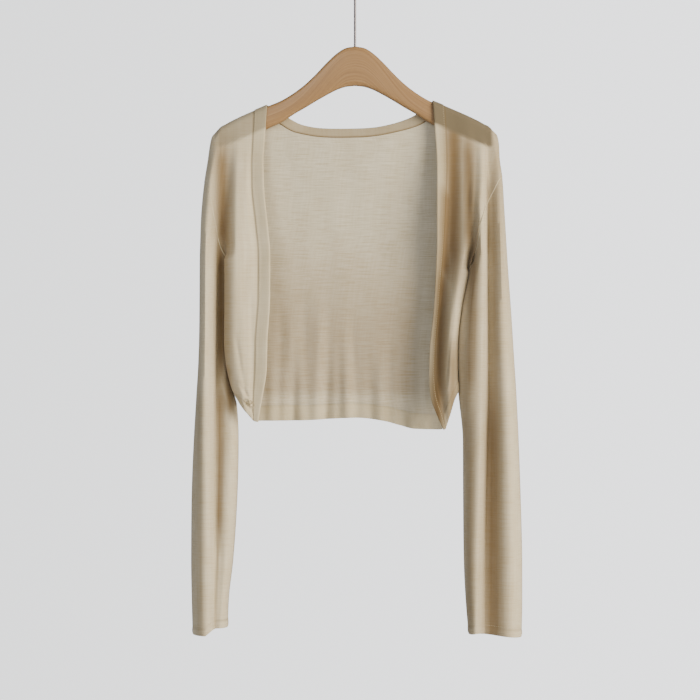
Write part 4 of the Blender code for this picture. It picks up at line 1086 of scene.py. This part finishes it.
# Drawn steel wire with a dark bright plating: grey metal, fine draw lines
# along it that blur its highlights.
def plated_wire(name):
    made, tree, shader = new_finish(name, {"Metallic": 1.0, "Base Color": linear("#6d686a")})
    lines = noise(tree, node(tree, "ShaderNodeTexCoord").outputs["Object"], DRAW_LINES)
    rough = node(tree, "ShaderNodeMapRange", inputs={"Value": lines, "To Min": 0.24, "To Max": 0.42})
    tree.links.new(rough.outputs[0], shader.inputs["Roughness"])
    return made


# Sewing thread a shade darker than the knit: spun polyester, matt.
def thread(name):
    made, tree, shader = new_finish(name, {"Roughness": 0.8, "Sheen Weight": 0.2})
    along = node(tree, "ShaderNodeTexCoord").outputs["Object"]
    ply = node(tree, "ShaderNodeTexNoise", inputs={"Vector": along, "Scale": 900.0}).outputs[0]
    tree.links.new(ramp(tree, ply, ((0.35, "#a3936f"), (0.65, "#bcae8c"))),
                   shader.inputs["Base Color"])
    return made


# ------------------------------------------------------------------ the cloths
# how much of the wood shows through each front and the back, painted into the cloth's colour; the
# right front's larger share is also painted shade over the wood
WOOD_SHOWS_AND_SHADE = {LEFT: 0.56, RIGHT: 0.97}
WOOD_SHOWS_BACK = 0.45
WOOD_SHOWS_OUT = 189.0   # it shows out to here
WOOD_SOFT_OUT = 6.0      # soft over this width
WOOD_SOFT_DROP = 5.0     # and over this height
BACK_LOW_SHADE = 0.40    # painted shade over the back's lower half


def shadow_line(which, distance):
    """Shadow beside a seam: full on its line, gone beyond its half-width."""
    strength, at, half_width = SEAM_LINES[which]
    return strength * ease(1.0 - np.abs(distance - at) / half_width)


SIDE_LAP = 3.6           # how far the side seam lies out over the sleeve
SIDE_FORWARD = 9.0       # and how far forward
SIDE_LAP_ABOVE = 6.0     # it starts this far above the armpit
SIDE_LAP_START = 8.0     # and gets there over this drop
SIDE_LAP_FADE = 22.0     # it goes back over this drop, and is gone here:
SIDE_LAP_END = {LEFT: 488.0, RIGHT: 484.0}


def lap_side(side, face, out, drop, depth):
    """Carry the side seam out and forward, so that it lies in front of the
    sleeve's inner edge. Returns the new out and depth."""
    crest = body_value(side, "crest", drop)
    edge = body_value(side, "side", drop)
    q = np.clip((out - crest) / (edge - crest), 0.0, 1.0)
    start = ARMHOLE_DROP[side][-1] - SIDE_LAP_ABOVE
    below = ease((drop - start) / SIDE_LAP_START) * ease((SIDE_LAP_END[side] - drop) / SIDE_LAP_FADE)
    high = line_depth(side, face, "crest", drop)
    old = high * edge_round(q, SIDE_ROUND)
    if face == FRONT:
        new = SIDE_FORWARD + (high - SIDE_FORWARD) * edge_round(q, SIDE_ROUND)
    else:
        new = high - (high + SIDE_FORWARD) * ease(q)
    return out + SIDE_LAP * q ** 2 * below, depth + (new - old) * below


def wood_under(out, drop):
    """1 where the wood lies behind the cloth, soft over its last 5 mm."""
    inside = ease((WOOD_SHOWS_OUT - np.abs(out)) / WOOD_SOFT_OUT)
    return inside * ease((hanger_bottom(out) + 1.0 - drop) / WOOD_SOFT_DROP)


def soft_edge(distance):
    """Share of a band's thickness at a distance from its edge: a quarter
    ellipse over EDGE_SOFT."""
    q = np.clip(distance / EDGE_SOFT, 0.0, 1.0)
    return 0.25 + 0.75 * np.sqrt(1.0 - (1.0 - q) ** 2)


def meet_armhole(grid, side, face, plain, reach):
    """Bring a grid's armhole border to the sleeve's edge: `plain` is the depth
    that the border has by itself, and `reach` fades the step out across."""
    arm = armhole_curve(side, face)
    miss = refine(arm[:, 1] - face * plain[:len(arm)], ROW_FINE, 0)
    grid[:len(miss), :, 1] += miss[:, None] * reach


def fine_front(side, word):
    """A front with its band and hem: the fine grid of the front's middle
    surface is cut at the band seam and at the hem line. Returns the grid, its
    normals and the seam's column."""
    coarse = np.concatenate([band_flat(side), front_flat(side)], axis=1)
    flat = refine(coarse, ROW_FINE, 0)
    band_cols = refine(flat[:, :BAND_STEPS + 1], BAND_FINE, 1)
    body_cols = refine(flat[:, BAND_STEPS:], FRONT_FINE, 1)
    flat = np.concatenate([band_cols[:, :-1], body_cols], axis=1)
    out, drop = flat[..., 0], flat[..., 1]
    share = np.interp(np.arange(body_cols.shape[1]) / FRONT_FINE, np.arange(len(FRONT_ACROSS)),
                      FRONT_ACROSS)
    to_side = np.zeros(out.shape[1])
    to_side[-len(share):] = ease((share - 1.0 + FRONT_ARM_REACH) / FRONT_ARM_REACH)
    fold = creases("front_" + word, out, drop) + rumple(out, drop, 1.0 + side)
    depth = body_depth(side, FRONT, out, drop) + fold * (1.0 - to_side)
    lapped, depth = lap_side(side, FRONT, out, drop, depth * top_turn(out, drop))
    grid = place(side, FRONT, lapped, drop, depth)
    edge_out, edge_drop = coarse[:, -1, 0], coarse[:, -1, 1]
    plain = body_depth(side, FRONT, edge_out, edge_drop) * top_turn(edge_out, edge_drop)
    meet_armhole(grid, side, FRONT, plain, to_side)
    normal = outward(grid)
    seam_col = band_cols.shape[1] - 1
    hem_row = grid.shape[0] - 1 - ROW_FINE
    across = lengths(grid, 1)[0]
    from_seam = across - across[:, seam_col:seam_col + 1]
    down, whole = lengths(grid, 0)
    from_hem = down - down[hem_row:hem_row + 1]
    # painted shadow lines beside the band seam and above the hem
    hem_shadow = shadow_line("front_hem", from_hem) * (from_seam > 0.0)
    # painted shade in the front's furrows and along its painted shade strokes
    shade = {"furrow": np.maximum(hollow("front", depth), painted_shade(word + "_front", out, drop)),
             "wood_under": WOOD_SHOWS_AND_SHADE[side] * wood_under(out, drop),
             "seam_shadow": np.maximum(shadow_line("band", from_seam), hem_shadow)}
    band, body = np.s_[:seam_col + 1], np.s_[seam_col:]
    edges = np.minimum(across[:, band], -from_seam[:, band])
    edges = np.minimum(edges, (whole - down)[:, band] + BAND_END_FULL)
    make("band_" + word, grid, normal, BAND_WALL * soft_edge(edges), shade, (np.s_[:], band),
         band_finish)
    make("front_" + word, grid, normal, KNIT_WALL, shade, (np.s_[:hem_row + 1], body), knit_finish)
    edges = np.minimum(from_hem, whole - down)[hem_row:, body]
    make("hem_band_" + word, grid, normal, HEM_WALL * soft_edge(edges), shade,
         (np.s_[hem_row:], body), band_finish)
    return grid, normal, seam_col


def make(node_name, grid, normal, thick, shade, cut, finish):
    """One cloth cut out of a larger fine grid, in place of its solid."""
    part = {word: np.broadcast_to(values, grid.shape[:2])[cut] for word, values in shade.items()}
    piece = cloth_piece("knit_" + node_name, grid[cut], normal[cut], thick, part, finish)
    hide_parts(node_name)
    return piece


def fine_back():
    """The back with its hem, cut from one fine grid at the hem line."""
    coarse, across = back_flat()
    flat = refine(refine(coarse, ROW_FINE, 0), BACK_FINE, 1)
    x, drop = flat[..., 0], flat[..., 1]
    share = refine(across, BACK_FINE, 0)
    near = {LEFT: ease((BACK_ARM_REACH - share) / BACK_ARM_REACH),
            RIGHT: ease((share - 1.0 + BACK_ARM_REACH) / BACK_ARM_REACH)}
    fold = creases("back", x, drop) + BACK_RUMPLE * rumple(x, drop, 3.0)
    fold = fold * ease((drop - shoulder_drop(x) - BACK_FOLD_START) / BACK_FOLD_FULL)
    depth = back_depth(x, drop) + fold * (1.0 - near[LEFT] - near[RIGHT])
    lapped = x
    for side in (LEFT, RIGHT):
        moved, deeper = lap_side(side, BACK, np.abs(x), drop, depth)
        lapped = np.where(side * x > 0.0, side * moved, lapped)
        depth = np.where(side * x > 0.0, deeper, depth)
    grid = place(1.0, BACK, lapped, drop, depth)
    for side, col in ((LEFT, 0), (RIGHT, -1)):
        meet_armhole(grid, side, BACK, back_depth(*coarse[:, col].T), near[side])
    normal = outward(grid)
    hem_row = grid.shape[0] - 1 - ROW_FINE
    down, whole = lengths(grid, 0)
    from_hem = down - down[hem_row:hem_row + 1]
    # painted shade, darker towards the bottom of the back, less on the hem band and towards the
    # right, where the right front's cast shadow already darkens it
    low = BACK_LOW_SHADE * ease((drop - 220.0) / 170.0)
    low = low * (1.0 - 0.7 * ease((drop - 466.0) / 16.0)) * (1.0 - 0.8 * ease((x - 70.0) / 25.0))
    # painted shade in the back's furrows and along its painted shade strokes
    furrow = np.maximum(hollow("back", depth, both_ways=True), painted_shade("back", x, drop))
    shade = {"furrow": np.maximum(furrow, low),
             "wood_under": WOOD_SHOWS_BACK * wood_under(x, drop),
             "seam_shadow": shadow_line("back_hem", from_hem)}
    make("back_panel", grid, normal, KNIT_WALL, shade, np.s_[:hem_row + 1, :], backlit_back_finish)
    edges = np.minimum(from_hem, whole - down)[hem_row:]
    make("hem_band_back", grid, normal, HEM_WALL * soft_edge(edges), shade, np.s_[hem_row:, :],
         band_finish)


def fine_neck_band():
    """Band round the back neck, free edge to seam."""
    grid = refine(refine(neck_grid(), BAND_FINE, 0), NECK_FINE, 1)
    down, whole = lengths(grid, 0)
    rolled = NECK_SHADE + NECK_ROLL_SHADE * ease(1.0 - (whole - down) / 4.0)
    ends = column(NECK_SHADE_ROWS, NECK_SHADE_COLUMNS, "along")
    darker = np.interp(np.linspace(0.0, 1.0, grid.shape[1]), ends,
                       column(NECK_SHADE_ROWS, NECK_SHADE_COLUMNS, "share"))
    shade = {"furrow": np.maximum(rolled, darker), "wood_under": 0.0,
             "seam_shadow": shadow_line("neck", whole - down)}
    make("band_neck", grid, outward(grid), BAND_WALL * soft_edge(np.minimum(down, whole - down)),
         shade, np.s_[:, :], band_finish)


NECK_SHADE = 0.40        # painted shade over the whole neck band
NECK_ROLL_SHADE = 0.30   # and more of it where the band rolls into its seam
NECK_SHADE_COLUMNS = ("along", "share")
# painted shade along the neck band by share of its length: darker at both ends, most at the right,
# where the right front's corner casts its shadow
NECK_SHADE_ROWS = ((0.0, 0.75), (0.06, 0.62), (0.11, 0.4), (0.80, 0.4), (0.89, 0.95), (1.0, 1.0))


def finer(samples, times):
    """Split each step of a section's samples into equal smaller ones."""
    made = samples[:1]
    for (last_part, last), (part, share) in zip(samples, samples[1:]):
        start = last if last_part == part else 0.0
        made += [(part, start + (share - start) * step / times) for step in range(1, times + 1)]
    return made


def fine_sleeve(side, word):
    """A sleeve from armhole to cuff: the solid's rings, closer together, with
    creases front and back and a turned cuff. Returns its grid and normals."""
    samples = finer(sleeve_samples(), SLEEVE_ACROSS)
    ring = [(FRONT, "_front", sample) for sample in samples]
    ring += [(BACK, "_back", sample) for sample in samples[-2:0:-1]]
    share = np.linspace(0.0, 1.0, SLEEVE_DOWN) ** 1.1
    lines, depths, strokes = [], [], []
    for face, face_word, (part, in_part) in ring:
        start = line_drop(ARMHOLE_DROP[side], part, in_part)
        drop = start + (line_drop(CUFF_DROP[side], part, in_part) - start) * share
        first = sleeve_value(side, SLEEVE_LINES[part], drop)
        out = first + in_part * (sleeve_value(side, SLEEVE_LINES[part + 1], drop) - first)
        edge = np.minimum(out - sleeve_value(side, "inner", drop),
                          sleeve_value(side, "outer", drop) - out)
        away = ease(edge / SLEEVE_EDGE_PLAIN) * ease((drop - start) / SLEEVE_TOP_PLAIN)
        fold = creases("sleeve_" + word + face_word, out, drop) + rumple(out, drop, 5.0 + face)
        depth = (sleeve_depth(side, face, out, drop) + fold * away) * top_turn(out, drop)
        lines.append(place(side, face, out, drop, depth))
        depths.append(depth)
        # painted shade strokes on the sleeve
        strokes.append(painted_shade(word + face_word, out, drop))
    grid, depth = np.stack(lines, axis=1), np.stack(depths, axis=1)
    normal = side * outward(grid, ring=True)
    halves = (depth[:, :len(samples)], depth[:, len(samples):])
    furrow = np.concatenate([hollow("sleeve", half) for half in halves], axis=1)
    down, whole = lengths(grid, 0)
    to_cuff = whole - down
    turned = HEM_WALL * soft_edge(np.minimum(to_cuff, CUFF_TURN - to_cuff))
    # painted shade in furrows and strokes; painted shadow lines at the cuff and armhole
    shade = {"furrow": np.maximum(furrow, np.stack(strokes, axis=1)), "wood_under": 0.0,
             "seam_shadow": shadow_line("cuff", to_cuff) + shadow_line("armhole", down)}
    piece = cloth_piece("knit_sleeve_" + word, grid, normal,
                        np.where(to_cuff < CUFF_TURN, turned, KNIT_WALL), shade, knit_finish,
                        ring=True)
    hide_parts("sleeve_" + word)
    return grid, normal


# ------------------------------------------------------------- seams and stitches
def frames_along(path, hint):
    """Unit tangents, side and lift directions down a path."""
    tangent = np.gradient(path, axis=0)
    tangent /= np.maximum(np.linalg.norm(tangent, axis=1, keepdims=True), 1e-9)
    lift = hint - (hint * tangent).sum(1, keepdims=True) * tangent
    lift /= np.maximum(np.linalg.norm(lift, axis=1, keepdims=True), 1e-9)
    return tangent, np.cross(tangent, lift), lift


def tube(name, path, hint, radius, sides, finish):
    """A round section carried down a path, closed to a point at both ends."""
    _, aside, lift = frames_along(path, hint)
    angle = np.linspace(0.0, 2.0 * math.pi, sides, endpoint=False)[None, :, None]
    ring = np.cos(angle) * aside[:, None] + np.sin(angle) * lift[:, None]
    points = path[:, None] + np.broadcast_to(radius, len(path))[:, None, None] * ring
    points = np.concatenate([points.reshape(-1, 3), path[:1], path[-1:]])
    index = closed(np.arange(len(path) * sides).reshape(-1, sides))
    faces = quads(index).tolist()
    start, end = index[0].tolist(), index[-1].tolist()
    faces += [(right, left, len(points) - 2) for left, right in zip(start, start[1:])]
    faces += [(left, right, len(points) - 1) for left, right in zip(end, end[1:])]
    piece = mesh_piece(name, points, faces, finish, folds=False)
    outward_volume(piece.data)
    return piece


def outward_volume(mesh):
    """Turn a closed mesh's faces outwards if its signed volume is negative."""
    mesh.calc_loop_triangles()
    count = len(mesh.loop_triangles)
    corner = np.empty(count * 3, dtype=np.int32)
    mesh.loop_triangles.foreach_get("vertices", corner)
    points = np.empty(len(mesh.vertices) * 3)
    mesh.vertices.foreach_get("co", points)
    a, b, c = (points.reshape(-1, 3)[corner.reshape(-1, 3)[:, k]] for k in (0, 1, 2))
    if float((a * np.cross(b, c)).sum()) < 0.0:
        mesh.flip_normals()


def stitches(name, path, hint, pitch, length, width):
    """A row of thread stitches: each is a six-sided spindle, `length` long,
    laid down the path every `pitch`."""
    reach = lengths(path[:, None], 0)[0][:, 0]
    at = np.arange(pitch, reach[-1] - pitch, pitch)
    middle, along, side_way, up = (np.stack([np.interp(at, reach, part[:, k]) for k in range(3)], 1)
                                   for part in (path,) + frames_along(path, hint))
    angle = np.linspace(0.0, 2.0 * math.pi, 6, endpoint=False)[None, :, None]
    stations = np.array(STITCH_STATIONS) * length
    radius = np.array(STITCH_WIDTHS) * width
    ring = np.cos(angle) * side_way[:, None] + np.sin(angle) * up[:, None]
    points = (middle[:, None, None] + stations[None, :, None, None] * along[:, None, None]
              + radius[None, :, None, None] * ring[:, None])
    index = np.arange(len(at) * 24).reshape(len(at), 4, 6)
    right = np.roll(index, -1, axis=2)
    faces = np.stack([index[:, :-1], index[:, 1:], right[:, 1:], right[:, :-1]], axis=-1)
    ends = [index[:, 0, [0, 1, 2, 3]], index[:, 0, [0, 3, 4, 5]],
            index[:, 3, [3, 2, 1, 0]], index[:, 3, [5, 4, 3, 0]]]
    faces = np.concatenate([faces.reshape(-1, 4)] + ends)
    piece = mesh_piece(name, points.reshape(-1, 3), faces.tolist(), thread_finish)
    outward_volume(piece.data)


# ------------------------------------------------------------------- the hanger
WOOD_ALONG = 300
WOOD_AROUND = 56
WOOD_TIP_ROUND = 5.0     # length over which a tip rounds off


def fine_hanger():
    """The wooden arch: a long-sided oval section from tip to tip. Its flat
    sides join quarter circles top and bottom, and both tips round off."""
    end = HANGER_ROWS[-1][0]
    turn = np.linspace(-1.0, 1.0, WOOD_ALONG)
    outs = end * (0.6 * turn + 0.4 * np.sin(turn * math.pi / 2.0))
    tip = np.clip((np.abs(outs) - HANGER_TIP_START) / (end - HANGER_TIP_START), 0.0, 1.0)
    past = np.clip((np.abs(outs) - end + WOOD_TIP_ROUND) / WOOD_TIP_ROUND, 0.0, 1.0)
    close = np.sqrt(np.clip(1.0 - past ** 2, 0.0004, 1.0))
    half = 0.5 * HANGER_THICK * np.sqrt(1.0 - HANGER_TIP_THIN * tip ** 2) * close
    top, bottom = hanger_top(outs), hanger_bottom(outs)
    middle, tall = 0.5 * (top + bottom), 0.5 * (bottom - top) * close
    angle = np.linspace(0.0, 2.0 * math.pi, WOOD_AROUND, endpoint=False)
    angle = angle + 0.25 * np.sin(2.0 * angle)
    corner = np.minimum(half, tall)[:, None] * 0.999
    flat = tall[:, None] - corner
    depth = half[:, None] * np.sign(np.cos(angle)) * np.abs(np.cos(angle)) ** 0.8
    level = corner * np.sin(angle) + flat * np.clip(np.sin(angle) * 1.8, -1.0, 1.0)
    grid = np.stack([np.broadcast_to(outs[:, None], depth.shape), depth,
                     -HOOK_HEIGHT - middle[:, None] + level], axis=-1)
    index = closed(np.arange(grid.shape[0] * WOOD_AROUND).reshape(-1, WOOD_AROUND))
    flat_place = np.stack([closed(lengths(grid, 0)[0]), lengths(closed(grid), 1)[0]], axis=-1)
    piece = mesh_piece("beech_arch", grid.reshape(-1, 3), quads(index).tolist(), wood_finish)
    lay_uv(piece, quads(flat_place))
    outward_volume(piece.data)
    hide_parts("hanger_wood")


def fine_hook():
    """The wire: a round section down the hook's centre line, its end domed."""
    path = refine(np.array([(x, 0.0, z) for x, z in hook_path()]), 6, 0)
    reach = lengths(path[:, None], 0)[0][:, 0]
    radius = WIRE_RADIUS * np.sqrt(np.clip((reach[-1] - reach) / WIRE_RADIUS, 0.02, 1.0))
    piece = tube("wire_hook", path, np.tile([0.0, 1.0, 0.0], (len(path), 1)), radius, 20,
                 wire_finish)
    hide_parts("hanger_hook")


# ------------------------------------------------------------------ making it all
knit_finish = jersey("beige_jersey", "#d6ccb3", "#c8bc9e", "#b39a6c", "#604620", "#6a5f4a",
                     "#6f5c3c", 0.30)
# The back's knit is paler and greyer than the fronts': painted light of the pale wall shining
# through the sheer back from behind.
backlit_back_finish = jersey("beige_jersey_back", "#d0cab7", "#c1b8a1", "#a69775", "#755628", "#8d8063",
                     "#6f5c3c", 0.55)
band_finish = jersey("beige_jersey_doubled", "#cfc5aa", "#c0b495", "#ab966a", "#604620", "#6a5f4a",
                     "#6a5739", 0.18)
wood_finish = beech("satin_beech")
wire_finish = plated_wire("dark_plated_wire")
thread_finish = thread("beige_thread")

fine_hanger()
fine_hook()
SIDES = ((LEFT, "left"), (RIGHT, "right"))
fronts = {side: fine_front(side, word) for side, word in SIDES}
fine_back()
fine_neck_band()
for side, word in SIDES:
    surface, facing = fine_sleeve(side, word)
    seam = tube("armhole_seam_" + word, closed(surface[0], 0), closed(facing[0], 0),
                SEAM_RADIUS, 8, band_finish)
    cuff, facing = closed(surface[CUFF_STITCH_ROW], 0), closed(facing[CUFF_STITCH_ROW], 0)
    stitches("cuff_stitches_" + word, cuff + 0.55 * facing, facing, 3.0, 2.2, THREAD_RADIUS)
    grid, normal, seam_col = fronts[side]
    facing = normal[:, seam_col] * (-1.0 if normal[40, seam_col, 1] > 0.0 else 1.0)
    beside, facing = grid[BAND_STITCH_START:, seam_col - 2], facing[BAND_STITCH_START:]
    stitches("band_stitches_" + word, beside + 1.05 * facing, facing, 3.2, 2.3, THREAD_RADIUS)

LOOPS_AT = (-146.5, 481.0)   # x and drop of the loops at the left front's corner
LOOP_SIZE = 4.4


def thread_loops(name, grid):
    """Thread gathered in small loops on the left front's lower corner: three
    turns of an uneven circle that drifts outwards and down, laid on the cloth."""
    turn = np.linspace(0.0, 6.6 * math.pi, 150)
    reach = LOOP_SIZE * (0.75 + 0.3 * np.sin(1.7 * turn + 0.6))
    x = LOOPS_AT[0] + reach * np.cos(turn) + 0.35 * turn
    drop = LOOPS_AT[1] + 0.8 * reach * np.sin(turn) + 0.28 * turn
    z = -HOOK_HEIGHT - drop
    surface = grid.reshape(-1, 3)
    apart = (surface[None, :, 0] - x[:, None]) ** 2 + (surface[None, :, 2] - z[:, None]) ** 2
    lift = 1.5 + 0.7 * np.sin(2.3 * turn)
    path = np.stack([x, surface[apart.argmin(axis=1), 1] - lift, z], axis=1)
    piece = tube(name, path, np.tile([0.0, -1.0, 0.0], (len(path), 1)), THREAD_RADIUS, 8,
                 thread_finish)


thread_loops("corner_thread_loops", fronts[LEFT][0])


# ------------------------------------------------------------------- stage and light
WALL_STRENGTH = 2.6      # the pale wall behind, as the camera sees it
SKY_STRENGTH = 0.34      # the even light it gives
LAMPS = (
    ("window_lamp", (2.3, -2.0, 0.15), (0.0, 0.0, -0.5), 2.4, 190.0, "#fff4e0"),
    ("front_lamp", (-1.1, -3.2, 0.5), (0.08, 0.0, -0.4), 1.4, 38.0, "#fbf8f4"),
)
FLOOR_RADIUS = 2.2
FLOOR_SIDES = 96
FLOOR_Z = -1.62
WALL_TURN = 0.16         # how far to either side the wall's painted light changes, darker at the left and lighter at the right
PHOTO_SPAN = 0.952       # width that the photograph takes in
PHOTO_FROM = 3.0         # distance it is taken from
PHOTO_OUT, PHOTO_DROP = -0.0068, 0.4128


def stage():
    """Pale floor well below the hanging part, and plain studio light: a broad
    warm lamp from the right, a soft one from the left and an even pale sky.
    The pale wall that the camera sees behind has painted light, lighter
    towards the right."""
    ring = np.linspace(0.0, 2.0 * math.pi, FLOOR_SIDES, endpoint=False)
    disc = np.stack([FLOOR_RADIUS * np.cos(ring), FLOOR_RADIUS * np.sin(ring),
                     np.full(FLOOR_SIDES, FLOOR_Z)], axis=1)
    mesh = bpy.data.meshes.new("pale_floor")
    mesh.from_pydata(disc.tolist(), [], [list(range(FLOOR_SIDES))])
    floor = bpy.data.objects.new("pale_floor", mesh)
    bpy.context.scene.collection.objects.link(floor)
    paint = new_finish("pale_floor_paint", {"Roughness": 0.9, "Base Color": linear("#dcdde0")})[0]
    mesh.materials.append(paint)
    world = bpy.data.worlds.new("pale_studio")
    world.use_nodes = True
    tree = world.node_tree
    wall = tree.nodes["Background"]
    way = node(tree, "ShaderNodeSeparateXYZ", inputs={0: node(tree, "ShaderNodeTexCoord").outputs[
        "Generated"]}).outputs[0]
    across = node(tree, "ShaderNodeMapRange", inputs={"Value": way, "From Min": -WALL_TURN,
                                                      "From Max": WALL_TURN}).outputs[0]
    # painted light on the wall: darker at the left, lighter towards the right, where the lamp stands
    shade = mixed(tree, across, linear("#dadbdc"), linear("#f0f1f4"))
    tree.links.new(shade, wall.inputs["Color"])
    wall.inputs["Strength"].default_value = WALL_STRENGTH
    sky = node(tree, "ShaderNodeBackground", inputs={"Color": linear("#e2e6f0"),
                                                     "Strength": SKY_STRENGTH})
    seen = node(tree, "ShaderNodeLightPath").outputs["Is Camera Ray"]
    both = node(tree, "ShaderNodeMixShader", inputs={0: seen, 1: sky.outputs[0],
                                                     2: wall.outputs[0]})
    tree.links.new(both.outputs[0], tree.nodes["World Output"].inputs["Surface"])
    bpy.context.scene.world = world
    for name, place_at, aim, size, power, colour in LAMPS:
        lamp = bpy.data.lights.new(name, "AREA")
        lamp.shape = "DISK"
        lamp.size = size
        lamp.energy = power
        lamp.color = linear(colour)[:3]
        thing = bpy.data.objects.new(name, lamp)
        bpy.context.scene.collection.objects.link(thing)
        thing.location = place_at
        look(thing, aim)


def look(thing, aim):
    """Turn a lamp or camera so that it faces a point."""
    way = Vector(aim) - Vector(thing.location)
    thing.rotation_euler = way.to_track_quat("-Z", "Y").to_euler()


stage()

lens = bpy.data.cameras.new("photo_view")
lens.sensor_width = 36.0
lens.lens = 36.0 * PHOTO_FROM / PHOTO_SPAN
camera = bpy.data.objects.new("photo_view", lens)
bpy.context.scene.collection.objects.link(camera)
camera.location = (PHOTO_OUT, -PHOTO_FROM, -HOOK_HEIGHT * MM - PHOTO_DROP)
camera.rotation_euler = (math.radians(90.0), 0.0, 0.0)
bpy.context.scene.camera = camera
